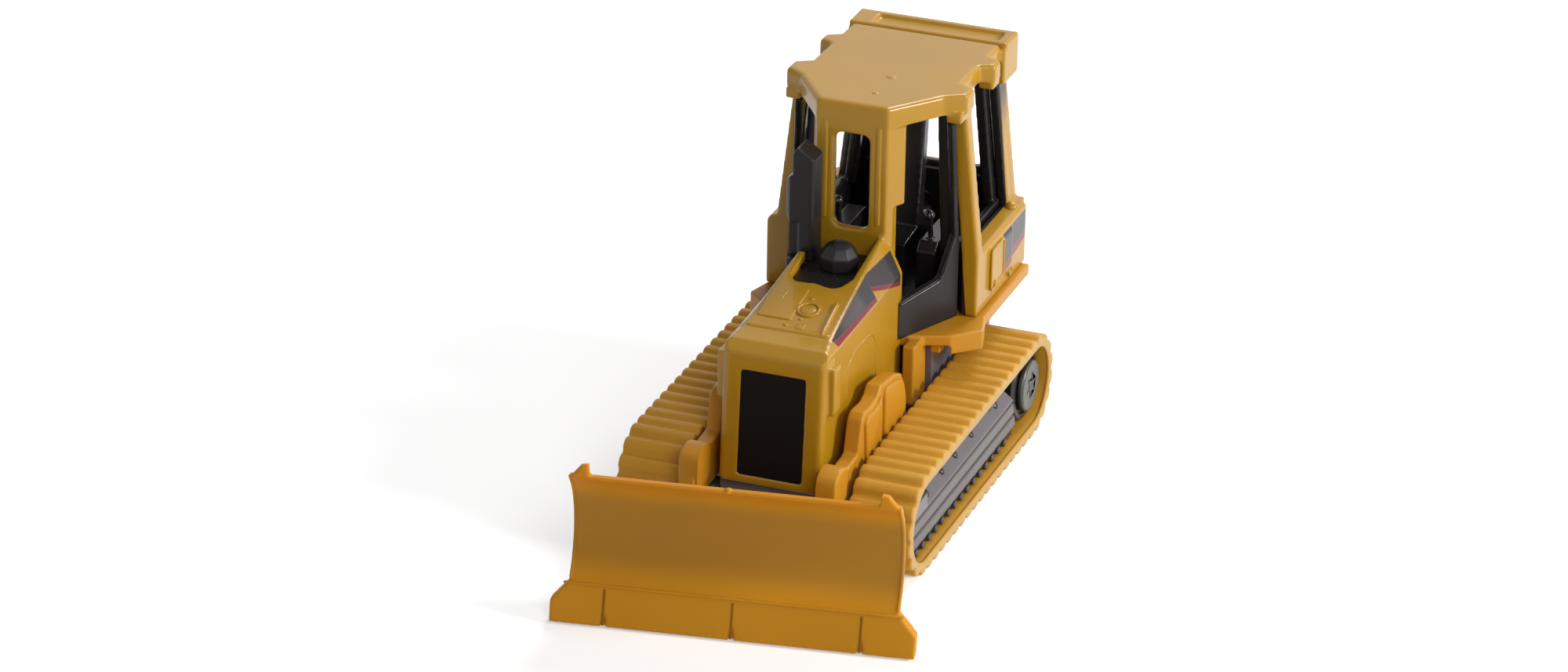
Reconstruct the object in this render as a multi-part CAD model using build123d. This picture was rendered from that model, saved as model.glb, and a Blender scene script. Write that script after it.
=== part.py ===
from build123d import *
import math
import os

# Toy bulldozer, about 1:64. Millimetres, +Z up, the blade faces -Y, +X is the machine's left side.
# Every piece is first built with Y = 0 at the nose face, X = 0 on the centre plane and Z = 0 on the
# ground. The last step moves them all, so that the origin is at the middle of the whole outline.

# Tracks
gauge_half = 12.58          # centre plane to the middle of a belt
belt_width = 7.0
belt_height = 11.4          # ground to the rib tips of the top run
belt_wall = 0.8
rib_height = 0.5
rib_count = 50
rib_root_share = 0.66       # rib width at its root, as a share of the pitch
rib_tip_share = 0.24
front_axle_y = 2.6
wheelbase = 35.1

# Wheels and axles
wheel_width = 4.2
wheel_chamfer = 0.3
wheel_rim = 0.8
wheel_dish = 0.3
drive_outer_x = 14.75
wheel_belt_gap = 0.3
axle_radius = 0.8
running_gap = 0.05          # radial gap of a turning piece on its pin or axle
head_radius = 2.85
head_thickness = 0.55
punch_share = 0.5           # depth of the punch mark in a head, as a share of its thickness
end_gap = 0.15              # side play of a turning piece

# Track frames
frame_inner_x = 9.6
frame_plate_x = 14.2        # inner face of the plate that runs forward outside the front wheel
frame_outer_x = 15.3
frame_top_z = 8.0
frame_gap = 0.35
frame_bevel = 1.5
bevel_front_y = 4.6
frame_rake = 1.7            # the rear end leans: its top stands this far in front of the wheel's gap
notch_count = 4
notch_size = (0.9, 1.5)     # length and depth
notch_edge = 0.35
side_grooves = ((5.95, 0.3), (4.3, 0.35))   # height above ground and width of each groove
side_groove_depth = 0.3
chain_top_z = 3.0           # the row of rollers lies in a recess below this
chain_depth = 0.5
roller_radius = 0.45
roller_pitch = 2.0
roller_y = (1.8, 31.5)      # the row's two ends
strut_y = (23.5, 29.0)      # middles of the two struts that carry each frame
strut_size = (2.6, 2.4)
strut_rise = 0.6

# Chassis
chassis_half = 6.2
chassis_front_y = 1.0
chassis_rear_y = 44.5
chassis_bottom_z = 1.9
chassis_top_z = 8.0
chassis_chamfer = 1.0
deck_half = 8.4
deck_front_y = 25.2

# Hood and nose
nose_half = 5.6
nose_bottom_z = 8.2
nose_lean = 1.1             # how far the foot of the nose stands in front of its top
nose_top_z = 22.3
nose_round = 0.7
brow_step = (1.2, 1.0)      # the brow's bend, behind and above the top of the nose face
brow_y = 3.6
brow_z = 23.6
hood_slope = 0.206          # rise of the hood top per millimetre towards the cab
hood_top_front_half = 4.7
hood_top_rear_half = 3.6
shoulder_front_drop = 0.6   # the sloped shoulder is low at the brow and tall at the cab
shoulder_rear_drop = 4.2
casting_wall = 0.9
grille_half = 3.52
grille_bottom_z = 9.1
grille_top_z = 20.5
grille_depth = 0.4
grille_fit = 0.02
lug_size = (0.8, 2.0, 5.2)
lug_front_y = 0.6
lug_bottom_z = 16.6

# Well behind the hood top, in which the pre-cleaner and the exhaust stand
well_front = ((-3.2, 13.4), (-2.4, 12.4), (-0.3, 12.65), (1.2, 12.2), (1.9, 12.25), (2.6, 13.0), (3.2, 14.4))
well_side_y = 17.6          # behind this the well is open on the right side of the machine
well_floor_z = 24.2
well_gap = 0.1
well_base = 0.9             # thickness of the black base in the well
ball_radius = 2.12
ball_middle = (0.4, 17.8, 26.0)

# Exhaust: a column, the silencer on its right side and a pipe below that
column_x = (-4.45, -2.65)
column_y = (18.0, 20.9)
column_round = 0.4
exhaust_top_z = (37.6, 36.4)    # its slanted top, at the right and left edge
neck_x = -5.0
silencer_x = -5.85
silencer_z = (29.3, 34.4)
silencer_chamfer = 0.6
side_pipe_x = (-5.65, -4.3)
side_pipe_y = (18.9, 20.7)

# Cab
platform_top_z = 16.0
cab_front_y = 22.0
cab_front_half = 3.9
cab_front_wall = 1.1
return_half = 5.1
return_rear_y = 24.5
return_step = (0.35, 1.1)   # below return_step_z the returns are narrower
return_step_z = 30.4
window_half = 1.95
window_bottom_z = 27.8
window_top_z = 38.4
window_round = 0.9
roof_under_z = 39.4
roof_front_z = 41.8         # the roof falls a little towards the rear
roof_top_z = 41.2
roof_round = 0.5
roof_joint = 0.5            # the posts and walls reach this far up into the roof
door_front = (5.5, 21.4)    # plan corners of the lower door panels
door_rear = (9.5, 30.3)
door_panel_wall = 0.8
door_strip = 0.8
door_sill = (4.2, 5.2)      # height of the panel above the floor, at its front and at its knee
door_knee = (2.8, 9.5)      # the knee's distance from the rear edge, and where the strip starts
door_lean = 1.0             # how far the strip leans forward at the top
door_post_lead = 0.7
door_post_top = 1.6
tank_half = 11.4
tank_front_y = 31.0
tank_rear_y = 46.5
tank_top_z = 23.0
tank_wall = 2.4
tank_round = 0.5
tank_panel_y = (3.4, 10.5)
tank_panel_z = (1.6, 1.0)
tank_panel_rise = 0.25
tank_cheek = 1.0            # the right tank's front bulges out this far
cheek_length = 6.7
cheek_rise = 1.0
cheek_round = 0.9
pillar_depth = 1.7
pillar_top_shift = 1.9      # how far the side posts lean in at the top
rear_post_half = 9.8
rear_post_wall = 1.2
rear_post_depth = 1.6
part_gap = 0.05             # between pieces that stand side by side
cab_rear_y = 47.7
rear_wall_inset = 0.6
rear_window_half = 6.4
rear_window_bottom_z = 26.0
rear_window_top_z = 36.6
rear_window_round = 1.2
roof_side = 8.4
lug_reach = 10.05
lug_drop = 0.9
lug_inset = 0.3
lug_y = ((28.3, 31.9), (38.6, 40.8))
aircon_half = 8.9
aircon_front_y = 44.8
aircon_rear_y = 49.5
aircon_bottom_z = 36.6
aircon_round = 0.4
aircon_recess = ((-6.5, 7.7), (46.1, 48.4))
aircon_recess_depth = 0.4
aircon_groove = (0.45, 0.7)

# Cab interior
floor_wall = 0.8
lining_wall = 1.2
lining_depth = 1.2
door_lining = (1.4, 1.5)    # width and depth of the lining behind a door post
door_lining_y = 30.35
back_wall = 0.8
seat_half = 2.3
seat_side = ((33.2, 0.0), (38.4, 0.0), (40.1, 17.6), (39.7, 18.2), (38.7, 18.2), (37.0, 5.4), (33.0, 5.0))
console_half = 2.6
console_side = ((24.2, 0.0), (26.6, 0.0), (26.2, 6.5), (25.4, 9.2), (24.0, 9.6))
armrest_x = (4.1, 6.2)
armrest_y = (31.4, 38.6)
armrest_height = 6.2
armrest_chamfer = 1.0
stick_y = 33.2
stick_lean = 14.0           # degrees
stick_radius = 0.3
stick_height = 3.0
knob_radius = 0.6

# Platform
platform_thickness = 1.2
platform_half = 12.1
platform_rear_y = 46.0
step_front = (10.4, 25.0)
step_tip = (13.1, 27.6)
step_depth = 3.1
step_drop = 1.0
bracket_x = (8.2, 9.3)
bracket_y = (24.9, 26.4)
leg_x = 7.7
leg_y = (21.3, 24.0)
leg_foot_z = 9.0
leg_web = 0.8
leg_gap = 0.15

# Push frame
arm_inner_x = 6.65
arm_outer_x = 8.35
arm_pin_y = 17.4
arm_pin_z = 7.4
arm_pin_radius = 0.7
arm_pin_inner_x = 0.3
arm_eye = (1.6, 1.2)        # the arm's reach behind and above its pin
arm_back = ((17.2, 10.5), (16.9, 13.4), (15.6, 15.4), (13.6, 16.2), (9.2, 16.8), (8.2, 15.9), (7.2, 15.6),
            (4.4, 15.8), (3.6, 15.2), (2.6, 11.8), (-2.6, 11.4), (-4.4, 10.4))
arm_arch = (3.2, 2.4, 5.0)  # the arms clear the front axle from this far in front to this far behind
pin_head_radius = 1.25
pin_head = 0.45
arm_axle_gap = 0.5          # between the arms and the front axle below them
beam_y = (-5.2, -3.2)
beam_z = (4.4, 8.0)
fork_half = 1.9
fork_plate = 0.9
fork_turn_gap = 0.25

# Blade
blade_pin_y = -7.0
blade_pin_radius = 0.8
blade_pin_foot = 0.2
tongue_gap = 0.2
tongue_half = 1.5
blade_yaw = 9.5             # degrees, the angle at which the blade stands
blade_reach = 13.0          # pin to the cutting edge
blade_half = 16.75
blade_offset = 1.0          # the mouldboard's middle stands this far to the left of its pin
blade_foot_half = 18.6
blade_foot_top_z = 2.4
blade_top_z = 16.3
blade_foot_z = 0.2
crease_z = 4.4
edge_rake = (0.1, 1.3)      # the cutting edge plate leans back from its foot to the crease
blade_top_set = 0.9         # the top lip stands this far behind the cutting edge
blade_middle_set = 3.7      # and the deepest line of the hollow this far
blade_wall = 0.95
edge_wall = 0.6
back_crease = 0.3
spike_base = 2.1
spike_height = 1.3
edge_groove_share = 0.78
edge_groove_width = 0.5
edge_groove_depth = 0.55
saddle_half = 4.0
saddle_depth = 3.8
saddle_rise = (0.6, 2.6)
back_rib_x = 9.5
back_rib_wall = 1.0
back_rib_depth = 2.6
back_rib_inset = (0.6, 1.4)

# Fasteners
screw_radius = 0.6
screw_head_radius = 1.2
screw_head = 0.8
screw_slot = 0.4
screw_bite = 4.0
screw_hole_gap = 0.1
screw_hole_depth = 5.0
screw_seat_drop = (2.2, 2.4)
boss_radius = 1.7
boss_gap = 0.15
boss_web = 0.6
front_screw_y = 8.0
rear_screw_y = 43.0

# Worked out from the above
axle_z = belt_height / 2
rear_axle_y = front_axle_y + wheelbase
root_radius = belt_height / 2 - rib_height
belt_inner_radius = root_radius - belt_wall
wheel_radius = belt_inner_radius - wheel_belt_gap
idler_outer_x = frame_plate_x - 2 * end_gap - head_thickness
frame_foot_z = axle_z - belt_inner_radius + frame_gap
hood_back_y = cab_front_y + cab_front_wall
hood_back_z = brow_z + hood_slope * (hood_back_y - brow_y)
tank_inner = tank_half - tank_wall
floor_z = platform_top_z + floor_wall
deck_z = platform_top_z - platform_thickness
fork_low_z = beam_z[0] + fork_plate
fork_high_z = beam_z[1] - fork_plate
screw_seats = ((front_screw_y, chassis_top_z - screw_seat_drop[0]), (rear_screw_y, deck_z - screw_seat_drop[1]))
past = 1.0                  # how far a cutting shape runs past what it cuts


def box(x, y, z):
    """Box from its (low, high) limits along each axis."""
    size = [b - a for a, b in (x, y, z)]
    middle = [(a + b) / 2 for a, b in (x, y, z)]
    return Pos(*middle) * Box(*size)


def rod_x(radius, x0, x1, y, z):
    return Pos((x0 + x1) / 2, y, z) * Rot(0, 90, 0) * Cylinder(radius, abs(x1 - x0))


def rod_z(radius, x, y, z0, z1):
    return Pos(x, y, (z0 + z1) / 2) * Cylinder(radius, abs(z1 - z0))


def slab_x(points, x0, x1):
    """Side outline of (y, z) points, as thick as x0 to x1."""
    face = Plane.YZ.offset(x0) * make_face(Polyline(*points, close=True))
    return extrude(face, x1 - x0)


def slab_y(points, y0, y1):
    """Front outline of (x, z) points, as thick as y0 to y1."""
    plane = Plane((0, y0, 0), x_dir=(1, 0, 0), z_dir=(0, -1, 0))
    return extrude(plane * make_face(Polyline(*points, close=True)), y0 - y1)


def slab_z(points, z0, z1):
    """Plan outline of (x, y) points, as thick as z0 to z1."""
    face = Plane.XY.offset(z0) * make_face(Polyline(*points, close=True))
    return extrude(face, z1 - z0)


def mirrored(points):
    """Right half of a plan outline, front to rear, closed on the left by its mirror image."""
    return points + [(-x, y) for x, y in reversed(points)]


def both(solid):
    return solid + mirror(solid, about=Plane.YZ)


def on_side(solid, side):
    return solid if side > 0 else mirror(solid, about=Plane.YZ)


# Tracks


def belt_point(s, lift):
    """Point at length s round the belt, lifted from the rib roots; s = 0 is the front of the top run."""
    arc = math.pi * root_radius
    s = s % (2 * wheelbase + 2 * arc)
    radius = root_radius + lift
    if s < wheelbase:
        return (front_axle_y + s, axle_z + radius)
    s -= wheelbase
    if s < arc:
        turn = s / root_radius
        return (rear_axle_y + radius * math.sin(turn), axle_z + radius * math.cos(turn))
    s -= arc
    if s < wheelbase:
        return (rear_axle_y - s, axle_z - radius)
    turn = (s - wheelbase) / root_radius
    return (front_axle_y - radius * math.sin(turn), axle_z - radius * math.cos(turn))


def track_belt(side):
    pitch = (2 * wheelbase + 2 * math.pi * root_radius) / rib_count
    points = []
    for i in range(rib_count):
        for share, lift in ((-rib_root_share, 0), (-rib_tip_share, rib_height),
                            (rib_tip_share, rib_height), (rib_root_share, 0)):
            points.append(belt_point((i + 0.5 + share / 2) * pitch, lift))
    inner_x = gauge_half - belt_width / 2
    belt = slab_x(points, inner_x, inner_x + belt_width)
    middle = Pos(inner_x + belt_width / 2, front_axle_y + wheelbase / 2, axle_z)
    slot = SlotCenterToCenter(wheelbase, 2 * belt_inner_radius)
    belt -= middle * extrude(Plane.YZ * slot, belt_width, both=True)
    return on_side(belt, side)


def wheel(side, y, outer_x):
    inner_x = outer_x - wheel_width
    body = rod_x(wheel_radius, inner_x, outer_x, y, axle_z)
    body = chamfer(body.edges().filter_by(GeomType.CIRCLE), wheel_chamfer)
    body -= rod_x(axle_radius + running_gap, inner_x, outer_x, y, axle_z)
    dish = rod_x(wheel_radius - wheel_rim, outer_x - wheel_dish, outer_x, y, axle_z)
    dish -= rod_x(head_radius, outer_x - wheel_dish, outer_x, y, axle_z)
    return on_side(body - dish, side)


def axle(y, wheel_face_x):
    head_x = wheel_face_x + end_gap
    rod = rod_x(axle_radius, -head_x, head_x, y, axle_z)
    head = rod_x(head_radius, head_x, head_x + head_thickness, y, axle_z)
    outer = head.edges().filter_by(GeomType.CIRCLE).group_by(Axis.X)[-1]
    head = fillet(outer, head_thickness * 0.6)
    head -= rod_x(axle_radius, head_x + head_thickness * (1 - punch_share), head_x + head_thickness, y, axle_z)
    return rod + both(head)


def track_frame(side):
    """Rail between the wheels, with a plate that runs on outside the front wheel and follows the belt."""
    front = front_axle_y + wheel_radius + frame_gap
    rear = rear_axle_y - wheel_radius - frame_gap
    outline = [(front, frame_foot_z), (front, frame_top_z), (rear - frame_rake, frame_top_z),
               (rear + frame_gap, frame_foot_z)]
    body = slab_x(outline, frame_inner_x, frame_outer_x)
    body += box((frame_plate_x, frame_outer_x), (front_axle_y, front), (frame_foot_z, frame_top_z))
    loop_radius = belt_inner_radius - frame_gap
    nose = rod_x(loop_radius, frame_plate_x, frame_outer_x, front_axle_y, axle_z)
    body += nose & box((frame_plate_x, frame_outer_x), (front_axle_y - loop_radius, front_axle_y),
                       (frame_foot_z, frame_top_z))
    bevel = [(frame_outer_x + past, frame_top_z - frame_bevel - past), (frame_outer_x + past, frame_top_z + past),
             (frame_outer_x - frame_bevel - past, frame_top_z + past)]
    body -= slab_y(bevel, bevel_front_y, rear + past)
    step = (rear - front) / (notch_count + 0.5)
    for i in range(notch_count):
        y = front + step * (i + 0.75)
        body -= box((frame_inner_x - past, frame_outer_x - frame_bevel + notch_edge), (y, y + notch_size[0]),
                    (frame_top_z - notch_size[1], frame_top_z + past))
    all_along = (front_axle_y - loop_radius - past, rear + frame_gap + past)
    for z, width in side_grooves:
        body -= box((frame_outer_x - side_groove_depth, frame_outer_x + past), all_along, (z, z + width))
    body -= box((frame_outer_x - chain_depth, frame_outer_x + past), all_along,
                (frame_foot_z - past, chain_top_z))
    roller_z = (frame_foot_z + chain_top_z) / 2
    for i in range(int((roller_y[1] - roller_y[0]) / roller_pitch) + 1):
        body += rod_x(roller_radius, frame_outer_x - chain_depth - past / 4, frame_outer_x,
                      roller_y[0] + i * roller_pitch, roller_z)
    for y in strut_y:
        body += box((chassis_half, frame_inner_x), (y - strut_size[0] / 2, y + strut_size[0] / 2),
                    (frame_foot_z + strut_rise, frame_foot_z + strut_rise + strut_size[1]))
    return on_side(body, side)


# Chassis


def chassis_base():
    body = box((-chassis_half, chassis_half), (chassis_front_y, chassis_rear_y),
               (chassis_bottom_z, chassis_top_z))
    body += box((-deck_half, deck_half), (deck_front_y, chassis_rear_y), (chassis_top_z, deck_z))
    body = chamfer(body.edges().filter_by(Axis.X).group_by(Axis.Z)[0], chassis_chamfer)
    for y in (front_axle_y, rear_axle_y):
        body -= rod_x(axle_radius, -chassis_half, chassis_half, y, axle_z)
    body -= rod_x(arm_pin_radius, -chassis_half, chassis_half, arm_pin_y, arm_pin_z)
    for y, seat_z in screw_seats:
        body -= rod_z(screw_head_radius + screw_hole_gap, 0, y, chassis_bottom_z, seat_z)
        body -= rod_z(screw_radius + screw_hole_gap, 0, y, seat_z, deck_z + past)
    return body


def chassis_screw(index):
    y, seat_z = screw_seats[index]
    tip_z = (nose_bottom_z, platform_top_z)[index] + screw_bite
    body = rod_z(screw_head_radius, 0, y, seat_z - screw_head, seat_z)
    body += rod_z(screw_radius, 0, y, seat_z, tip_z)
    body -= box((-screw_head_radius, screw_head_radius), (y - screw_slot / 2, y + screw_slot / 2),
                (seat_z - screw_head, seat_z - screw_head / 2))
    return body


# Body casting


def nose_y(z):
    """Nose face at height z: its foot stands in front of its top."""
    return -nose_lean * (nose_top_z - z) / (nose_top_z - nose_bottom_z)


def hood_section(y, top_half, top_z, drop, wall):
    """Section across the hood at y: flat top, sloped shoulders, straight sides, moved in by the wall."""
    run = nose_half - top_half
    slope = math.hypot(run, drop)
    top_x = top_half - wall * drop / (slope + run)
    shoulder_z = top_z - drop - wall * run / (slope + drop)
    half = nose_half - wall
    foot_z = nose_bottom_z - (past if wall else 0)
    points = [(-half, foot_z), (half, foot_z), (half, shoulder_z), (top_x, top_z - wall),
              (-top_x, top_z - wall), (-half, shoulder_z)]
    plane = Plane((0, y, 0), x_dir=(1, 0, 0), z_dir=(0, -1, 0))
    return plane * make_face(Polyline(*points, close=True))


def hood():
    front = hood_section(brow_y, hood_top_front_half, brow_z, shoulder_front_drop, 0)
    rear = hood_section(hood_back_y, hood_top_rear_half, hood_back_z, shoulder_rear_drop, 0)
    body = loft([front, rear])
    overlap = 0.01
    outline = [(nose_y(nose_bottom_z), nose_bottom_z), (nose_y(nose_top_z), nose_top_z),
               (brow_step[0], nose_top_z + brow_step[1]), (brow_y + overlap, brow_z),
               (brow_y + overlap, nose_bottom_z)]
    body += extrude(front, brow_y + nose_lean) & slab_x(outline, -nose_half, nose_half)
    side_edges = body.edges().filter_by(lambda e: abs(e.center().X) > nose_half - overlap)
    side_edges = side_edges.filter_by(lambda e: e.center().Y < 0.2 and e.length > 8)
    body = fillet(side_edges, nose_round)
    inner_front_y = brow_y - 2 * casting_wall
    body -= loft([hood_section(inner_front_y, hood_top_front_half, brow_z - 0.3, shoulder_front_drop, casting_wall),
                  hood_section(hood_back_y - casting_wall, hood_top_rear_half, hood_back_z - 0.4,
                               shoulder_rear_drop, casting_wall)])
    floor = slab_z(well_outline() + [(-nose_half + casting_wall, hood_back_y), (-nose_half + casting_wall, well_side_y)],
                   well_floor_z - casting_wall, well_floor_z)
    body += floor & loft([front, rear])
    body -= slab_z(well_outline(), well_floor_z, hood_back_z + past)
    body -= box((-nose_half, well_front[-1][0]), (well_side_y, cab_front_y), (well_floor_z, hood_back_z + past))
    body += rod_z(boss_radius, 0, front_screw_y, nose_bottom_z, brow_z)
    body -= rod_z(screw_radius, 0, front_screw_y, nose_bottom_z, nose_bottom_z + screw_hole_depth)
    body -= slab_x(grille_outline(0, -past / 2), -grille_half, grille_half)
    lug = box((nose_half - 0.1, nose_half + lug_size[0]), (lug_front_y, lug_front_y + lug_size[1]),
              (lug_bottom_z, lug_bottom_z + lug_size[2]))
    return body + both(lug)


def well_outline():
    """Plan outline of the well: its front edge runs round the feet of the pre-cleaner and the exhaust."""
    return list(well_front) + [(well_front[-1][0], cab_front_y), (well_front[0][0], cab_front_y)]


def grille_outline(gap, lead):
    low = grille_bottom_z + gap
    high = grille_top_z - gap
    return [(nose_y(low) + lead, low), (nose_y(high) + lead, high),
            (nose_y(high) + grille_depth, high), (nose_y(low) + grille_depth, low)]


def grille_panel():
    return slab_x(grille_outline(grille_fit, grille_depth * 0.3), -grille_half + grille_fit, grille_half - grille_fit)


def cab_front():
    outline = mirrored([(cab_front_half, cab_front_y), (return_half, return_rear_y)])
    outer = slab_z(outline, nose_top_z, roof_under_z + roof_joint)
    inner_half = cab_front_half - cab_front_wall * 0.6
    inner = [(inner_half, hood_back_y), (return_half - cab_front_wall, return_rear_y + past)]
    outer -= slab_z(mirrored(inner), nose_top_z - past, roof_under_z + past)
    plane = Plane((0, cab_front_y - past, 0), x_dir=(1, 0, 0), z_dir=(0, -1, 0))
    window = RectangleRounded(2 * window_half, window_top_z - window_bottom_z, window_round)
    window = plane * Pos(0, (window_top_z + window_bottom_z) / 2) * window
    outer -= extrude(window, -(cab_front_wall + 2 * past))
    cut = box((cab_front_half + return_step[0], return_half + past),
              (cab_front_y + return_step[1], return_rear_y + past), (nose_top_z - past, return_step_z))
    return outer - both(cut)


def side_posts():
    """Door post and rear post of one side, leaning in towards the roof."""
    top_z = roof_under_z + roof_joint
    top_outer = tank_half - pillar_top_shift
    front_y = tank_front_y - door_post_lead
    door = [(door_rear[0], platform_top_z), (tank_half, platform_top_z), (tank_half, tank_top_z),
            (top_outer, top_z), (top_outer - door_post_top, top_z), (door_rear[0], tank_top_z)]
    body = slab_y(door, front_y, front_y + pillar_depth)
    top_rear = rear_post_half - pillar_top_shift
    foot_z = tank_top_z - roof_joint
    rear = [(rear_post_half - rear_post_wall, foot_z), (rear_post_half, foot_z), (top_rear, top_z),
            (top_rear - rear_post_wall, top_z)]
    return body + slab_y(rear, tank_rear_y - rear_post_depth, tank_rear_y)


def side_tank():
    tank = box((tank_inner, tank_half), (tank_front_y, tank_rear_y), (platform_top_z, tank_top_z))
    tank = fillet(tank.edges().filter_by(Axis.Y).group_by(Axis.X)[-1].group_by(Axis.Z)[-1], tank_round)
    panel = box((tank_half - 0.01, tank_half + tank_panel_rise),
                (tank_front_y + tank_panel_y[0], tank_front_y + tank_panel_y[1]),
                (platform_top_z + tank_panel_z[0], tank_top_z - tank_panel_z[1]))
    return tank + panel


def tank_bulge():
    front_y = tank_front_y - door_post_lead
    bulge = box((-tank_half - tank_cheek, -tank_half + roof_joint), (front_y, front_y + cheek_length),
                (platform_top_z, tank_top_z + cheek_rise))
    return fillet(bulge.edges().filter_by(Axis.Y).group_by(Axis.X)[0].group_by(Axis.Z)[-1], cheek_round)


def rear_wall():
    low_half = tank_half - rear_wall_inset
    top_half = rear_post_half - pillar_top_shift
    low = box((-low_half, low_half), (tank_rear_y, cab_rear_y), (platform_top_z, tank_top_z))
    high = slab_y([(-rear_post_half, tank_top_z), (rear_post_half, tank_top_z), (top_half, roof_under_z + roof_joint),
                   (-top_half, roof_under_z + roof_joint)], tank_rear_y, cab_rear_y)
    plane = Plane((0, tank_rear_y - past, 0), x_dir=(1, 0, 0), z_dir=(0, -1, 0))
    window = RectangleRounded(2 * rear_window_half, rear_window_top_z - rear_window_bottom_z, rear_window_round)
    window = plane * Pos(0, (rear_window_bottom_z + rear_window_top_z) / 2) * window
    wall = low + high - extrude(window, -(cab_rear_y - tank_rear_y + 2 * past))
    boss_top_z = tank_top_z - past
    boss = rod_z(boss_radius, 0, rear_screw_y, platform_top_z, boss_top_z)
    boss += box((-boss_web, boss_web), (rear_screw_y, tank_rear_y + 0.1), (platform_top_z, boss_top_z))
    boss -= rod_z(screw_radius, 0, rear_screw_y, platform_top_z, platform_top_z + screw_hole_depth)
    return wall + boss


def roof():
    """Roof plate with two lugs on each side, over the posts, and the air conditioner's box at its rear."""
    half = [(cab_front_half, cab_front_y), (8.0, 27.9), (lug_reach, 29.3), (lug_reach, 31.6),
            (roof_side, 32.6), (roof_side, 38.0), (lug_reach - 0.2, 38.8), (lug_reach - 0.2, 40.6),
            (roof_side, 41.4), (roof_side, aircon_front_y)]
    body = slab_z(mirrored(half), roof_under_z, roof_front_z)
    body -= slab_x([(cab_front_y - past, roof_front_z), (cab_front_y, roof_front_z), (aircon_front_y, roof_top_z),
                    (aircon_front_y + past, roof_top_z), (aircon_front_y + past, roof_front_z + past),
                    (cab_front_y - past, roof_front_z + past)], -lug_reach - past, lug_reach + past)
    rim = body.faces().sort_by(lambda f: f.center().Z)[-1].edges()
    body = fillet(rim.filter_by(lambda e: abs(e.center().Y - aircon_front_y) > 0.1), roof_round)
    for span in lug_y:
        body += both(box((roof_side - lug_inset, lug_reach - lug_inset), span,
                         (roof_under_z - lug_drop, roof_under_z + lug_inset)))
    unit = box((-aircon_half, aircon_half), (aircon_front_y, aircon_rear_y), (aircon_bottom_z, roof_top_z))
    unit = fillet(unit.edges().filter_by(Axis.X), aircon_round)
    unit -= box(*aircon_recess, (roof_top_z - aircon_recess_depth, roof_top_z + past))
    unit -= box((-aircon_half - past, aircon_half + past), (aircon_front_y - past, aircon_front_y + aircon_groove[0]),
                (roof_top_z - aircon_groove[1], roof_top_z + past))
    return body + unit


def body_casting():
    body = hood()
    body += cab_front()
    body += both(side_posts() + side_tank()) + tank_bulge()
    body += rear_wall()
    body += roof()
    return body


# Hood fittings


def exhaust_stack():
    foot_z = well_floor_z + well_base
    high, low = exhaust_top_z
    body = box(column_x, column_y, (foot_z, high))
    body = fillet(body.edges().filter_by(Axis.Z), column_round)
    neck = box((neck_x, column_x[1] - 2 * column_round), column_y, (silencer_z[1] - past, high))
    silencer = box((silencer_x, column_x[1] - column_round), column_y, silencer_z)
    silencer = chamfer(silencer.edges().group_by(Axis.X)[0], silencer_chamfer)
    body += neck + silencer
    body += box(side_pipe_x, side_pipe_y, (foot_z, silencer_z[0] + past))
    slope = (high - low) / (column_x[1] - column_x[0])
    cut = [(column_x[0], high), (column_x[1] + past, low - slope * past), (column_x[1] + past, high + past),
           (column_x[0], high + past)]
    body -= slab_y(cut, column_y[0] - past, column_y[1] + past)
    shoulder = [(silencer_x - past, silencer_z[1] - past), (column_x[0], high + 0.2), (silencer_x - past, high + 0.2)]
    return body - slab_y(shoulder, column_y[0] - past, column_y[1] + past)


def air_precleaner():
    """Black base that fills the well's floor, with the round pre-cleaner standing in it."""
    top_z = well_floor_z + well_base
    outline = make_face(Polyline(*well_outline(), close=True))
    outline += Pos((well_front[-1][0] - nose_half) / 2, (well_side_y + cab_front_y) / 2) * Rectangle(
        well_front[-1][0] + nose_half, cab_front_y - well_side_y)
    base = extrude(Plane.XY.offset(well_floor_z) * offset(outline, -well_gap), well_base)
    ball = Pos(*ball_middle) * Sphere(ball_radius)
    ball -= box((-nose_half, nose_half), (brow_y, cab_front_y), (brow_z - 2 * past, top_z - well_base / 2))
    return base + ball


# Cab interior


def door_panel():
    """Lower door panel of one side, upright on the line between the two door corners."""
    run = (door_rear[0] - door_front[0], door_rear[1] - door_front[1])
    plane = Plane((*door_front, 0), x_dir=(*run, 0), z_dir=(run[1], -run[0], 0))
    low = platform_top_z
    top = roof_under_z - lug_drop - 2 * part_gap
    start = 2 * part_gap
    end = math.hypot(*run) - 4 * part_gap
    strip_foot = low + door_knee[1] - 1.5
    outline = [(start, low), (end, low), (end, strip_foot), (end - door_lean, top),
               (end - door_lean - door_strip, top), (end - door_strip, low + door_knee[1]),
               (end - door_knee[0], low + door_sill[1]), (start, low + door_sill[0])]
    panel = extrude(plane * make_face(Polyline(*outline, close=True)), -door_panel_wall)
    return panel - box((0, nose_half + part_gap), (0, hood_back_y + part_gap), (low - past, top + past))


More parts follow.
